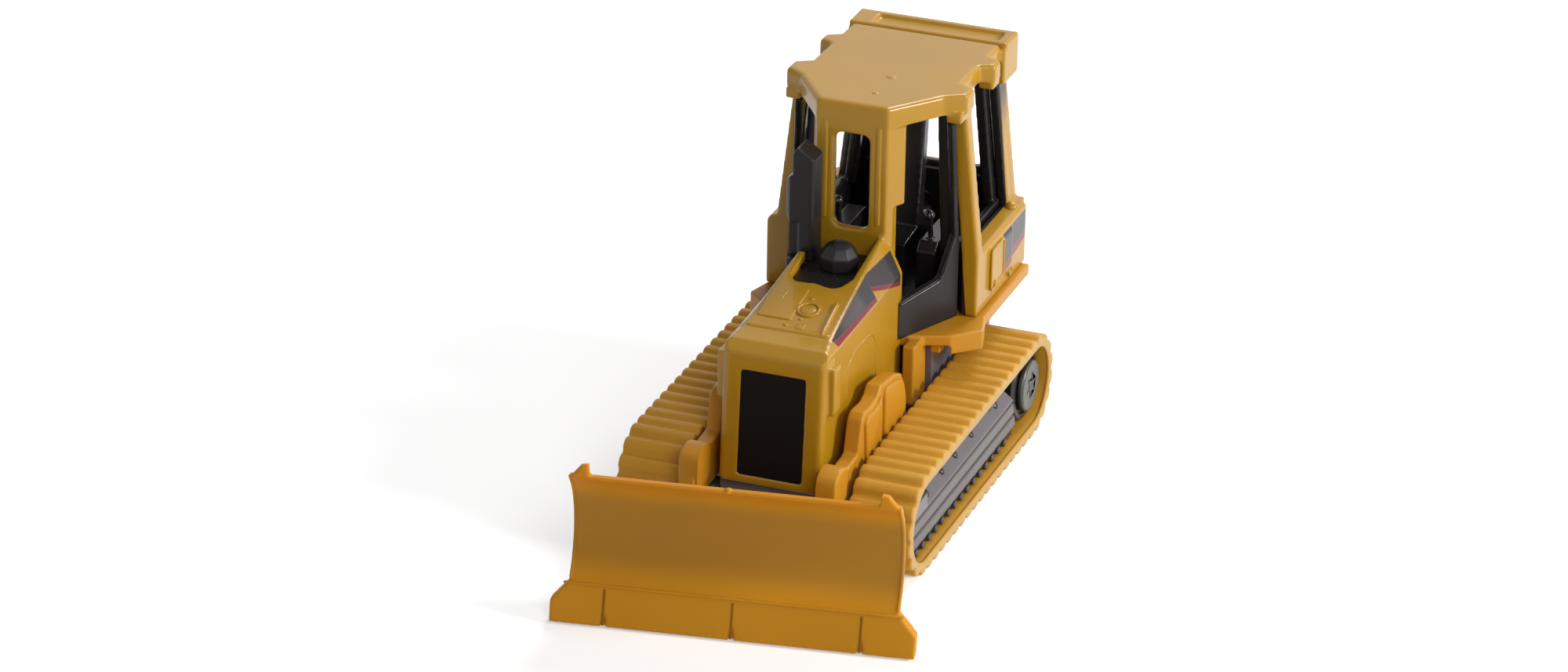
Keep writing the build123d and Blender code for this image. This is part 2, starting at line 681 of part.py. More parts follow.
def cab_tub():
    """Black liner of the cab: floor, door panels, rear and side walls, and the linings behind the posts."""
    inward = (door_rear[1] - door_front[1]) / math.dist(door_front, door_rear) * door_panel_wall / 2
    side_x = tank_inner - 2 * part_gap
    side_y = tank_front_y + pillar_depth - lining_wall / 2 + 0.1
    floor_half = [(door_front[0] - inward, hood_back_y + part_gap), (nose_half, hood_back_y + part_gap),
                  (door_rear[0] - inward - 0.3, door_rear[1] - 0.3), (side_x, side_y),
                  (side_x, tank_rear_y - 0.3)]
    low = platform_top_z
    body = slab_z(mirrored(floor_half), low, floor_z)
    body -= rod_z(boss_radius + boss_gap, 0, rear_screw_y, low - past, floor_z + past)
    web_half = boss_web + boss_gap
    body -= box((-web_half, web_half), (rear_screw_y, tank_rear_y), (low - past, floor_z + past))
    body += both(door_panel())
    outer = rear_post_half - rear_post_wall - part_gap
    wall_top = rear_window_bottom_z - 0.5
    wall_half = outer - pillar_top_shift * (wall_top - tank_top_z + 0.5) / (roof_under_z - tank_top_z)
    wall_rear_y = tank_rear_y - 0.2
    wall = box((-wall_half, wall_half), (wall_rear_y - back_wall, wall_rear_y), (low, wall_top))
    body += wall - box((-web_half, web_half), (tank_rear_y - 2 * past, tank_rear_y), (low - past, tank_top_z))
    lining_rear_y = tank_rear_y - rear_post_depth - 0.1
    body += both(box((side_x - back_wall, side_x), (side_y, lining_rear_y), (low, tank_top_z + 0.6)))
    top_z = roof_under_z - 0.3
    lean = pillar_top_shift * 0.9
    rear_lining = [(outer - lining_wall, tank_top_z), (outer, tank_top_z), (outer - lean, top_z),
                   (outer - lean - lining_wall, top_z)]
    body += both(slab_y(rear_lining, lining_rear_y - lining_depth, lining_rear_y))
    post_top_x = tank_half - pillar_top_shift - door_post_top - part_gap
    door_top_z = roof_under_z - lug_drop - 2 * part_gap
    post_lining = [(side_x - door_lining[0], low), (side_x, low), (side_x, tank_top_z),
                   (post_top_x, door_top_z), (post_top_x - door_lining[0], door_top_z)]
    return body + both(slab_y(post_lining, door_lining_y, door_lining_y + door_lining[1]))


def operator_seat():
    side = [(y, floor_z + height) for y, height in seat_side]
    body = slab_x(side, -seat_half, seat_half)
    return fillet(body.edges().filter_by(Axis.X).group_by(Axis.Z)[-1], 0.3)


def dash_console():
    side = [(y, floor_z + height) for y, height in console_side]
    return slab_x(side, -console_half, console_half)


def armrest(side):
    top_z = floor_z + armrest_height
    body = box(armrest_x, armrest_y, (floor_z, top_z))
    body = chamfer(body.edges().filter_by(Axis.X).group_by(Axis.Z)[-1].group_by(Axis.Y)[0], armrest_chamfer)
    foot = Pos(sum(armrest_x) / 2, stick_y, top_z) * Rot(stick_lean, 0, 0)
    body += foot * Pos(0, 0, stick_height / 2) * Cylinder(stick_radius, stick_height + stick_radius)
    body += foot * Pos(0, 0, stick_height) * Sphere(knob_radius)
    return on_side(body, side)


# Platform


def platform_plate():
    half = [(nose_half, hood_back_y + part_gap), step_front, step_tip, (platform_half, tank_front_y),
            (platform_half, platform_rear_y)]
    body = slab_z(mirrored(half), deck_z, platform_top_z)
    step = [step_front, step_tip, (step_tip[0] - 0.8, step_tip[1] + step_depth),
            (step_front[0] - 0.5, step_front[1] + step_depth)]
    side = slab_z(step, deck_z - step_drop, platform_top_z)
    side += box(bracket_x, bracket_y, (deck_z - step_drop, platform_top_z - 0.5))
    leg_top_z = platform_top_z - 0.3
    side += box((chassis_half + leg_gap, leg_x), leg_y, (leg_foot_z, leg_top_z))
    side += box((chassis_half, leg_x), (leg_y[1] - leg_web, deck_front_y), (leg_foot_z, leg_top_z))
    body += both(side)
    return body - rod_z(screw_radius + screw_hole_gap, 0, rear_screw_y, deck_z - past, platform_top_z + past)


# Push frame and blade


def push_frame():
    over_axle = axle_z + axle_radius + arm_axle_gap
    arm = [(arm_pin_y + arm_eye[0], arm_pin_z - arm_eye[0]), (arm_pin_y + arm_eye[0], arm_pin_z + arm_eye[1])]
    arm += list(arm_back)
    arm += [(beam_y[0], beam_z[1]), (beam_y[0], beam_z[0]), (beam_y[1], beam_z[0]),
            (front_axle_y - arm_arch[0], over_axle), (front_axle_y + arm_arch[1], over_axle),
            (front_axle_y + arm_arch[2], arm_pin_z - arm_eye[0])]
    body = slab_x(arm, arm_inner_x, arm_outer_x)
    body -= rod_x(arm_pin_radius + running_gap, arm_inner_x, arm_outer_x, arm_pin_y, arm_pin_z)
    body = both(body) + box((-arm_outer_x, arm_outer_x), beam_y, beam_z)
    for z0 in (beam_z[0], fork_high_z):
        plate = box((-fork_half, fork_half), (blade_pin_y, beam_y[1]), (z0, z0 + fork_plate))
        plate += rod_z(fork_half, 0, blade_pin_y, z0, z0 + fork_plate)
        body += plate - rod_z(blade_pin_radius, 0, blade_pin_y, z0, z0 + fork_plate)
    return body - rod_z(fork_half + fork_turn_gap, 0, blade_pin_y, fork_low_z, fork_high_z)


def arm_pin(side):
    head_x = arm_outer_x + end_gap
    body = rod_x(arm_pin_radius, arm_pin_inner_x, head_x, arm_pin_y, arm_pin_z)
    body += rod_x(pin_head_radius, head_x, head_x + pin_head, arm_pin_y, arm_pin_z)
    return on_side(body, side)


def blade_pivot_pin():
    body = rod_z(blade_pin_radius, 0, blade_pin_y, beam_z[0] - blade_pin_foot, beam_z[1])
    return body + rod_z(pin_head_radius, 0, blade_pin_y, beam_z[1], beam_z[1] + pin_head)


def mouldboard_curve(set_back):
    """Arc from the crease to the top lip, moved back from the blade's face."""
    edge_y = -blade_reach + set_back
    lower = edge_rake[1] + (back_crease if set_back else 0)
    return ThreePointArc((edge_y + lower, crease_z), (edge_y + blade_middle_set, (crease_z + blade_top_z) / 2),
                         (edge_y + blade_top_set, blade_top_z))


def blade_front_space():
    """Everything in front of the mouldboard's curve, kept clear of the ribs at its back."""
    front_y = -blade_reach - 3 * past
    lines = [mouldboard_curve(0),
             Line((-blade_reach + blade_top_set, blade_top_z), (front_y, blade_top_z)),
             Line((front_y, blade_top_z), (front_y, crease_z)),
             Line((front_y, crease_z), (-blade_reach + edge_rake[1], crease_z))]
    return extrude(Plane.YZ.offset(-blade_foot_half) * make_face(lines), 2 * blade_foot_half + blade_offset)


def blade():
    """Blade with its tongue, built square to the pin and then turned to its standing angle."""
    edge_y = -blade_reach
    foot_front = (edge_y + edge_rake[0], blade_foot_z)
    foot_rear = (edge_y + edge_wall + edge_rake[0] + blade_wall, blade_foot_z)
    top_front = (edge_y + blade_top_set, blade_top_z)
    top_rear = (edge_y + blade_top_set + blade_wall, blade_top_z)
    lines = [Line(foot_front, (edge_y + edge_rake[1], crease_z)), mouldboard_curve(0), Line(top_front, top_rear),
             mouldboard_curve(blade_wall),
             Line((edge_y + edge_rake[1] + back_crease + blade_wall, crease_z), foot_rear),
             Line(foot_rear, foot_front)]
    body = extrude(Plane.YZ.offset(-blade_foot_half) * make_face(lines), 2 * blade_foot_half)
    front = [(blade_foot_half, blade_foot_z), (blade_foot_half, blade_foot_top_z), (blade_half, crease_z),
             (blade_half, blade_top_z + past)]
    body &= slab_y(mirrored(front), edge_y - past, 0)
    spike = [(blade_half - spike_base, blade_top_z), (blade_half, blade_top_z - 0.4),
             (blade_half - spike_base * 0.57, blade_top_z + spike_height * 0.85),
             (blade_half - spike_base * 0.95, blade_top_z + spike_height)]
    body += both(slab_y(spike, edge_y + blade_top_set + 0.05, edge_y + blade_top_set + blade_wall - 0.05))
    for x in (-blade_half * edge_groove_share, 0.0, blade_half * edge_groove_share):
        body -= box((x - edge_groove_width / 2, x + edge_groove_width / 2), (edge_y - past, edge_y + edge_groove_depth),
                    (blade_foot_z - past, crease_z - 0.5))
    body = Pos(blade_offset, 0, 0) * body
    level = (fork_low_z + tongue_gap, fork_high_z - tongue_gap)
    back_y = edge_y + blade_wall
    rear = box((-tongue_half, tongue_half), (back_y + 2.6, 0), level)
    rear += rod_z(tongue_half, 0, 0, *level)
    saddle_y = edge_y + edge_rake[1] + 0.1
    rear += box((-saddle_half, saddle_half), (saddle_y, back_y + saddle_depth + past),
                (level[0] - saddle_rise[0], level[1] + saddle_rise[1]))
    for x in (blade_offset - back_rib_x, blade_offset + back_rib_x):
        rear += box((x - back_rib_wall / 2, x + back_rib_wall / 2), (saddle_y, back_y + back_rib_depth + past),
                    (crease_z + back_rib_inset[0], blade_top_z - back_rib_inset[1]))
    body += rear - blade_front_space()
    body -= rod_z(blade_pin_radius + running_gap, 0, 0, *level)
    return Pos(0, blade_pin_y, 0) * Rot(0, 0, blade_yaw) * body


def build():
    pieces = {
        "body_casting": body_casting(),
        "grille_panel": grille_panel(),
        "exhaust_stack": exhaust_stack(),
        "air_precleaner": air_precleaner(),
        "cab_tub": cab_tub(),
        "operator_seat": operator_seat(),
        "dash_console": dash_console(),
        "platform_plate": platform_plate(),
        "chassis_base": chassis_base(),
        "front_chassis_screw": chassis_screw(0),
        "rear_chassis_screw": chassis_screw(1),
        "front_axle": axle(front_axle_y, idler_outer_x),
        "rear_axle": axle(rear_axle_y, drive_outer_x),
        "push_frame": push_frame(),
        "blade": blade(),
        "blade_pivot_pin": blade_pivot_pin(),
    }
    for name, side in (("left", 1), ("right", -1)):
        pieces["track_belt_" + name] = track_belt(side)
        pieces["track_frame_" + name] = track_frame(side)
        pieces["drive_wheel_" + name] = wheel(side, rear_axle_y, drive_outer_x)
        pieces["idler_wheel_" + name] = wheel(side, front_axle_y, idler_outer_x)
        pieces[name + "_armrest"] = armrest(side)
        pieces["arm_pin_" + name] = arm_pin(side)
    return pieces


pieces = build()
whole = Compound([solid for piece in pieces.values() for solid in piece.solids()]).bounding_box()
middle = whole.center()
print("origin stands at", round(middle.X, 4), round(middle.Y, 4), "and the lowest point at", round(whole.min.Z, 4))
os.makedirs("parts", exist_ok=True)
for name, piece in pieces.items():
    solids = [Pos(-middle.X, -middle.Y, 0) * solid for solid in piece.solids()]
    export_step(Compound(solids), "parts/" + name + ".step")
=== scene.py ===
import math

import bmesh
import bpy
import numpy as np
from mathutils import Matrix, Vector

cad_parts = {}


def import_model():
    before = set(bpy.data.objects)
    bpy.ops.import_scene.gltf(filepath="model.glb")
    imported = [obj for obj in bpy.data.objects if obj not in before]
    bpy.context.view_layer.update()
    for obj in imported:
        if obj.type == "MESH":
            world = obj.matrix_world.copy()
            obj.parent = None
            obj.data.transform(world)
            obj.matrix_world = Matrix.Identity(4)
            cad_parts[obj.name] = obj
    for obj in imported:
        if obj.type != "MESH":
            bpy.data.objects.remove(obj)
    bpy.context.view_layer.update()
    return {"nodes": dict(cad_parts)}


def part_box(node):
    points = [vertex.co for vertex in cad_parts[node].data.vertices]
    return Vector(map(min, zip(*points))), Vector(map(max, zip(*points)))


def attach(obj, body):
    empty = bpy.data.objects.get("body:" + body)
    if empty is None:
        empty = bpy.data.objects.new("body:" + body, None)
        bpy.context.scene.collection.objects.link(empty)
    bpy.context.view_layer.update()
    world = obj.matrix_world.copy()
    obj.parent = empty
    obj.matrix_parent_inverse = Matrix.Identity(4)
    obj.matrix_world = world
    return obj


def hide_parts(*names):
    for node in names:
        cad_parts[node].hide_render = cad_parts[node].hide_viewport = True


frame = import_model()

print("frame loaded")
scene = bpy.context.scene

# Lengths below are millimetres from the nose datum: x from the centre plane, +x the machine's left side,
# y back from the top of the nose face, z up from the ground.
mm = 0.001
screwLow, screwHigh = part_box("front_chassis_screw")
datum = np.array([(screwLow.x + screwHigh.x) / 2, (screwLow.y + screwHigh.y) / 2 - 8.0 * mm, 0.0])


def place(points):
    # datum millimetres to the frame's metres: scaled by a thousandth and moved by the datum
    return np.asarray(points, float) * mm + datum


# Planes that details lie on: origin, first direction, second direction. The outward normal is their cross product.
hoodSlope = 0.206
hoodFoot = (3.6, 23.6)      # y and z of the brow, where the hood top starts
hoodRun = math.hypot(1, hoodSlope)
doorFront, doorRear = np.array([5.5, 21.4, 0.0]), np.array([9.5, 30.3, 0.0])
planes = {"side": ((0, 0, 0), (0, 1, 0), (0, 0, 1)),
          "top": ((0, 0, 0), (1, 0, 0), (0, 1, 0)),
          "front": ((0, 0, 0), (1, 0, 0), (0, 0, 1)),
          "hood": ((0, *hoodFoot), (1, 0, 0), (0, 1 / hoodRun, hoodSlope / hoodRun)),
          "door": (doorFront, (doorRear - doorFront) / np.linalg.norm(doorRear - doorFront), (0, 0, 1))}


def onPlane(plane, outline, depth):
    # point = origin + a * first direction + b * second direction + depth * normal
    origin, first, second = (np.asarray(v, float) for v in planes[plane])
    outline = np.asarray(outline, float)
    depth = np.broadcast_to(depth, len(outline))
    return origin + outline[:, :1] * first + outline[:, 1:2] * second + depth[:, None] * np.cross(first, second)


def planeNormal(plane):
    # cross product of the plane's two directions
    return np.cross(*[np.asarray(v, float) for v in planes[plane][1:]])


def onHood(x, y):
    # plan position on the hood top as plane coordinates: the second runs up the slope
    return (x, (y - hoodFoot[0]) * hoodRun)


# Name ending of each side of the machine, and whether its pieces are mirrored
bothSides = (("Left", False), ("Right", True))


def mirrored(points):
    return np.asarray(points) * (-1, 1, 1)


# Standing angle of the blade in degrees, and y of its pin
bladeStand = {"yaw": 9.5, "pinY": -7.0}


def bladePlace(points):
    # points of the blade standing square, turned by its standing angle about its pin
    yaw, pinY = math.radians(bladeStand["yaw"]), bladeStand["pinY"]
    x, y, z = np.asarray(points, float).T
    x, y = x * math.cos(yaw) - y * math.sin(yaw), x * math.sin(yaw) + y * math.cos(yaw) + pinY
    return np.stack([x, y, z], 1)


def pieceFromFaces(name, points, faces, body, material, sharp=40):
    mesh = bpy.data.meshes.new(name)
    mesh.from_pydata(place(points).tolist(), [], faces)
    return finishedPiece(name, mesh, body, material, sharp)


def finishedPiece(name, mesh, body, material, sharp=40):
    # merged, faces outward, smooth but for its sharp edges, and riding on its body
    shape = bmesh.new()
    shape.from_mesh(mesh)
    bmesh.ops.remove_doubles(shape, verts=shape.verts, dist=1e-6)
    bmesh.ops.recalc_face_normals(shape, faces=shape.faces)
    shape.to_mesh(mesh)
    shape.free()
    mesh.polygons.foreach_set("use_smooth", np.ones(len(mesh.polygons), bool))
    mesh.set_sharp_from_angle(angle=math.radians(sharp))
    piece = bpy.data.objects.new(name, mesh)
    scene.collection.objects.link(piece)
    mesh.materials.append(material)
    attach(piece, body)
    return piece


def gridFaces(rows, columns, wrapRows=False, wrapColumns=False, caps=False):
    # quads over a grid of rows x columns points; caps close its first and last row
    r = np.arange(rows if wrapRows else rows - 1)
    c = np.arange(columns if wrapColumns else columns - 1)
    r, c = np.meshgrid(r, c, indexing="ij")
    r2, c2 = (r + 1) % rows, (c + 1) % columns
    quads = np.stack([r * columns + c, r2 * columns + c, r2 * columns + c2, r * columns + c2], -1)
    faces = quads.reshape(-1, 4).tolist()
    if caps:
        faces += [list(range(columns)), list(range((rows - 1) * columns, rows * columns))]
    return faces


def roundedOutline(corners, radius, steps=4, closed=True):
    # each corner replaced by a quadratic curve: (1-t)^2 a + 2t(1-t) corner + t^2 b, which takes at most a share of
    # the shorter edge beside the corner
    edgeShare = 0.45
    corners = np.asarray(corners, float)
    before, after = np.roll(corners, 1, 0) - corners, np.roll(corners, -1, 0) - corners
    lengthBefore = np.linalg.norm(before, axis=1, keepdims=True)
    lengthAfter = np.linalg.norm(after, axis=1, keepdims=True)
    reach = np.minimum(radius, edgeShare * np.minimum(lengthBefore, lengthAfter))
    a = corners + before / lengthBefore * reach
    b = corners + after / lengthAfter * reach
    t = np.linspace(0, 1, steps)[None, :, None]
    arcs = (1 - t) ** 2 * a[:, None] + 2 * t * (1 - t) * corners[:, None] + t ** 2 * b[:, None]
    if closed:
        return arcs.reshape(-1, corners.shape[1])
    return np.concatenate([corners[:1], arcs[1:-1].reshape(-1, corners.shape[1]), corners[-1:]])


def insetOutline(outline, amount):
    # outline moved inward by amount: each point slides along the mean of its two edge normals
    area = np.sum(outline[:, 0] * np.roll(outline[:, 1], -1) - np.roll(outline[:, 0], -1) * outline[:, 1])
    forward = np.roll(outline, -1, 0) - outline
    forward /= np.maximum(np.linalg.norm(forward, axis=1, keepdims=True), 1e-9)
    normal = np.stack([-forward[:, 1], forward[:, 0]], 1) * np.sign(area)
    mean = normal + np.roll(normal, 1, 0)
    mean /= np.maximum(np.linalg.norm(mean, axis=1, keepdims=True), 1e-9)
    return outline + mean * amount / np.maximum(np.sum(mean * normal, axis=1, keepdims=True), 0.5)


def pad(name, plane, corners, low, high, cornerRadius, edge, body, slot, material, flip=False, move=None):
    # flat pad: its outline carried from low to high, then drawn in round the edge in a quarter circle
    outline = roundedOutline(corners, cornerRadius)
    sign = 1 if high > low else -1
    rows = [onPlane(plane, outline, low)]
    for turn in np.linspace(0, math.pi / 2, 5):
        inset = insetOutline(outline, edge * (1 - math.cos(turn)))
        rows.append(onPlane(plane, inset, high - sign * edge * (1 - math.sin(turn))))
    points = np.concatenate(rows)
    points = mirrored(points) if flip else points
    points = move(points) if move else points
    return pieceFromFaces(name, points, gridFaces(len(rows), len(outline), wrapColumns=True, caps=True),
                          body, material)


def bead(name, path, radius, normal, body, slot, material, closed=False, flip=False, move=None, flat=1.0, steps=10):
    # round bead: a circle of side * cos + up * sin carried along a path; an open bead ends in half balls
    path = np.asarray(path, float)
    ahead = np.roll(path, -1, 0) - np.roll(path, 1, 0) if closed else np.gradient(path, axis=0)
    ahead /= np.linalg.norm(ahead, axis=1, keepdims=True)
    radii = np.full(len(path), float(radius))
    if not closed:
        turn = np.linspace(0.08, math.pi / 2, 4)[:, None]
        startCap = path[:1] - ahead[:1] * radius * np.cos(turn)
        endCap = path[-1:] + ahead[-1:] * radius * np.cos(turn[::-1])
        capRadii = radius * np.sin(turn[:, 0])
        path = np.concatenate([startCap[:-1], path, endCap[1:]])
        ahead = np.concatenate([np.repeat(ahead[:1], 3, 0), ahead, np.repeat(ahead[-1:], 3, 0)])
        radii = np.concatenate([capRadii[:-1], radii, capRadii[::-1][1:]])
    side = np.cross(ahead, np.asarray(normal, float))
    side /= np.linalg.norm(side, axis=1, keepdims=True)
    up = np.cross(side, ahead) * flat
    turn = np.linspace(0, 2 * math.pi, steps, endpoint=False)[None, :, None]
    points = path[:, None] + radii[:, None, None] * (side[:, None] * np.cos(turn) + up[:, None] * np.sin(turn))
    points = points.reshape(-1, 3)
    points = mirrored(points) if flip else points
    points = move(points) if move else points
    faces = gridFaces(len(path), steps, wrapRows=closed, wrapColumns=True, caps=not closed)
    return pieceFromFaces(name, points, faces, body, material, 60)


def turned(name, profile, axisPoint, axis, body, slot, material, steps=32, sharp=40, flip=False):
    # surface of revolution: (radius, along) profile points carried round the axis
    profile = np.asarray(profile, float)
    axis = np.asarray(axis, float) / np.linalg.norm(axis)
    side = np.cross(axis, [0, 0, 1.0] if abs(axis[2]) < 0.9 else [1.0, 0, 0])
    side /= np.linalg.norm(side)
    up = np.cross(axis, side)
    turn = np.linspace(0, 2 * math.pi, steps, endpoint=False)[:, None]
    ring = np.cos(turn) * side + np.sin(turn) * up
    points = np.asarray(axisPoint) + ring[None] * profile[:, None, None, 0] + axis * profile[:, None, None, 1]
    points = points.reshape(-1, 3)
    points = mirrored(points) if flip else points
    return pieceFromFaces(name, points, gridFaces(len(profile), steps, wrapColumns=True, caps=True),
                          body, material, sharp)


def domeProfile(radius, height, sink=0.1, steps=7):
    # low dome: radius * cos and height * sin of a quarter turn, standing on a short skirt sunk in the surface
    turn = np.linspace(0, math.pi / 2 - 0.05, steps)
    return [(radius, -sink)] + [(radius * math.cos(t), height * math.sin(t)) for t in turn]


def softened(node, name, voxel, rounds, keep, body, slot, material):
    # copy of a CAD node as a cast skin: remeshed on a grid of voxel millimetres, its edges drawn round by some
    # rounds of smoothing, then thinned to a share of its faces
    mesh = frame["nodes"][node].data.copy()
    mesh.transform(Matrix.Scale(1 / mm, 4))
    shape = bmesh.new()
    shape.from_mesh(mesh)
    bmesh.ops.remove_doubles(shape, verts=shape.verts, dist=0.002)
    shape.to_mesh(mesh)
    shape.free()
    rough = bpy.data.objects.new(name + "Rough", mesh)
    scene.collection.objects.link(rough)
    skin = rough.modifiers.new("skin", "REMESH")
    skin.mode = "VOXEL"
    skin.voxel_size = voxel
    smooth = rough.modifiers.new("smooth", "SMOOTH")
    smooth.factor = 0.5
    smooth.iterations = rounds
    rough.modifiers.new("thin", "DECIMATE").ratio = keep
    cast = bpy.data.meshes.new_from_object(rough.evaluated_get(bpy.context.evaluated_depsgraph_get()))
    bpy.data.objects.remove(rough)
    cast.transform(Matrix.Scale(mm, 4))
    cast.materials.clear()
    cast.name = name
    piece = finishedPiece(name, cast, body, material, 75)
    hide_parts(node)
    return piece


def newGroup(name, inputs, outputs):
    group = bpy.data.node_groups.new(name, "ShaderNodeTree")
    for label, kind, value in inputs:
        group.interface.new_socket(label, in_out="INPUT", socket_type=kind).default_value = value
    for label, kind in outputs:
        group.interface.new_socket(label, in_out="OUTPUT", socket_type=kind)
    return group, group.nodes.new("NodeGroupInput"), group.nodes.new("NodeGroupOutput")


def addNode(tree, kind, values=None, **settings):
    node = tree.nodes.new(kind)
    for key, value in settings.items():
        setattr(node, key, value)
    for key, value in (values or {}).items():
        node.inputs[key].default_value = value
    return node


def mottleGroup():
    # colour and roughness that drift a little over the surface with slow noise, centred on their given values
    group, start, end = newGroup("mottle", [
        ("Color", "NodeSocketColor", (0.5, 0.5, 0.5, 1)), ("Amount", "NodeSocketFloat", 0.1),
        ("Scale", "NodeSocketFloat", 120.0), ("Roughness", "NodeSocketFloat", 0.4),
        ("Spread", "NodeSocketFloat", 0.08)],
        [("Color", "NodeSocketColor"), ("Roughness", "NodeSocketFloat")])
    link = group.links.new
    where = addNode(group, "ShaderNodeTexCoord")
    slow = addNode(group, "ShaderNodeTexNoise", {"Detail": 3.0})
    link(where.outputs["Object"], slow.inputs["Vector"])
    link(start.outputs["Scale"], slow.inputs["Scale"])
    centred = addNode(group, "ShaderNodeMapRange", {"From Min": 0.25, "From Max": 0.75, "To Min": -1.0, "To Max": 1.0})
    link(slow.outputs["Fac"], centred.inputs["Value"])
    scaled = addNode(group, "ShaderNodeMath", operation="MULTIPLY")
    link(centred.outputs[0], scaled.inputs[0])
    link(start.outputs["Amount"], scaled.inputs[1])
    lifted = addNode(group, "ShaderNodeMath", {1: 1.0}, operation="ADD")
    link(scaled.outputs[0], lifted.inputs[0])
    tint = addNode(group, "ShaderNodeHueSaturation")
    link(start.outputs["Color"], tint.inputs["Color"])
    link(lifted.outputs[0], tint.inputs["Value"])
    link(tint.outputs["Color"], end.inputs["Color"])
    rough = addNode(group, "ShaderNodeMath", operation="MULTIPLY_ADD")
    link(centred.outputs[0], rough.inputs[0])
    link(start.outputs["Spread"], rough.inputs[1])
    link(start.outputs["Roughness"], rough.inputs[2])
    link(rough.outputs[0], end.inputs["Roughness"])
    return group


def grainGroup():
    # height of a moulded or painted skin: fine noise over slow waves
    group, start, end = newGroup("skinGrain", [
        ("Fine", "NodeSocketFloat", 3000.0), ("Slow", "NodeSocketFloat", 500.0),
        ("Mix", "NodeSocketFloat", 0.5)], [("Height", "NodeSocketFloat")])
    link = group.links.new
    where = addNode(group, "ShaderNodeTexCoord")
    fine = addNode(group, "ShaderNodeTexNoise", {"Detail": 2.0})
    slow = addNode(group, "ShaderNodeTexNoise", {"Detail": 1.0})
    for node, scale in ((fine, "Fine"), (slow, "Slow")):
        link(where.outputs["Object"], node.inputs["Vector"])
        link(start.outputs[scale], node.inputs["Scale"])
    blend = addNode(group, "ShaderNodeMix", data_type="FLOAT")
    link(start.outputs["Mix"], blend.inputs[0])
    link(slow.outputs["Fac"], blend.inputs[2])
    link(fine.outputs["Fac"], blend.inputs[3])
    link(blend.outputs[0], end.inputs["Height"])
    return group


def dustGroup():
    # mask of pale specks: small cells near their centres, only on faces that look up
    group, start, end = newGroup("dust", [
        ("Scale", "NodeSocketFloat", 2500.0), ("Cover", "NodeSocketFloat", 0.1)], [("Mask", "NodeSocketFloat")])
    link = group.links.new
    where = addNode(group, "ShaderNodeTexCoord")
    specks = addNode(group, "ShaderNodeTexVoronoi", {"Randomness": 1.0})
    link(where.outputs["Object"], specks.inputs["Vector"])
    link(start.outputs["Scale"], specks.inputs["Scale"])
    dots = addNode(group, "ShaderNodeMapRange", {"From Min": 0.18, "From Max": 0.05, "To Min": 0.0, "To Max": 1.0})
    link(specks.outputs["Distance"], dots.inputs["Value"])
    upward = addNode(group, "ShaderNodeSeparateXYZ")
    surface = addNode(group, "ShaderNodeNewGeometry")
    link(surface.outputs["Normal"], upward.inputs[0])
    up = addNode(group, "ShaderNodeMapRange", {"From Min": 0.3, "From Max": 1.0, "To Min": 0.0, "To Max": 1.0})
    link(upward.outputs["Z"], up.inputs["Value"])
    both = addNode(group, "ShaderNodeMath", operation="MULTIPLY")
    link(dots.outputs[0], both.inputs[0])
    link(up.outputs[0], both.inputs[1])
    cover = addNode(group, "ShaderNodeMath", operation="MULTIPLY")
    link(both.outputs[0], cover.inputs[0])
    link(start.outputs["Cover"], cover.inputs[1])
    link(cover.outputs[0], end.inputs["Mask"])
    return group


def borderGroup():
    # mask of a half space: 1 where direction . (|x|, y, z) in datum millimetres passes the level, over a soft border
    group, start, end = newGroup("border", [
        ("Direction", "NodeSocketVector", (1, 0, 0)), ("Level", "NodeSocketFloat", 0.0),
        ("Soft", "NodeSocketFloat", 0.05)], [("Mask", "NodeSocketFloat")])
    link = group.links.new
    where = addNode(group, "ShaderNodeTexCoord")
    moved = addNode(group, "ShaderNodeVectorMath", {1: tuple(datum)}, operation="SUBTRACT")
    link(where.outputs["Object"], moved.inputs[0])
    scaled = addNode(group, "ShaderNodeVectorMath", {3: 1 / mm}, operation="SCALE")
    link(moved.outputs[0], scaled.inputs[0])
    parts = addNode(group, "ShaderNodeSeparateXYZ")
    link(scaled.outputs[0], parts.inputs[0])
    folded = addNode(group, "ShaderNodeMath", operation="ABSOLUTE")
    link(parts.outputs["X"], folded.inputs[0])
    joined = addNode(group, "ShaderNodeCombineXYZ")
    link(folded.outputs[0], joined.inputs["X"])
    link(parts.outputs["Y"], joined.inputs["Y"])
    link(parts.outputs["Z"], joined.inputs["Z"])
    along = addNode(group, "ShaderNodeVectorMath", operation="DOT_PRODUCT")
    link(joined.outputs[0], along.inputs[0])
    link(start.outputs["Direction"], along.inputs[1])
    past = addNode(group, "ShaderNodeMath", operation="SUBTRACT")
    link(along.outputs["Value"], past.inputs[0])
    link(start.outputs["Level"], past.inputs[1])
    share = addNode(group, "ShaderNodeMath", operation="DIVIDE")
    link(past.outputs[0], share.inputs[0])
    link(start.outputs["Soft"], share.inputs[1])
    mask = addNode(group, "ShaderNodeMapRange", {"From Min": -1.0, "From Max": 1.0}, interpolation_type="SMOOTHSTEP")
    link(share.outputs[0], mask.inputs["Value"])
    link(mask.outputs[0], end.inputs["Mask"])
    return group


mottle, grain, dust, border = mottleGroup(), grainGroup(), dustGroup(), borderGroup()


def patchMask(tree, patch):
    # product of the masks of the patch's borders
    mask = None
    for direction, point in patch["borders"]:
        node = addNode(tree, "ShaderNodeGroup", node_tree=border)
        node.inputs["Direction"].default_value = direction
        node.inputs["Level"].default_value = float(np.dot(direction, point))
        node.inputs["Soft"].default_value = patch.get("soft", 0.05)
        if mask:
            both = addNode(tree, "ShaderNodeMath", operation="MULTIPLY")
            tree.links.new(mask, both.inputs[0])
            tree.links.new(node.outputs[0], both.inputs[1])
            mask = both.outputs[0]
        else:
            mask = node.outputs[0]
    if "strength" in patch:
        part = addNode(tree, "ShaderNodeMath", {1: patch["strength"]}, operation="MULTIPLY")
        tree.links.new(mask, part.inputs[0])
        mask = part.outputs[0]
    return mask


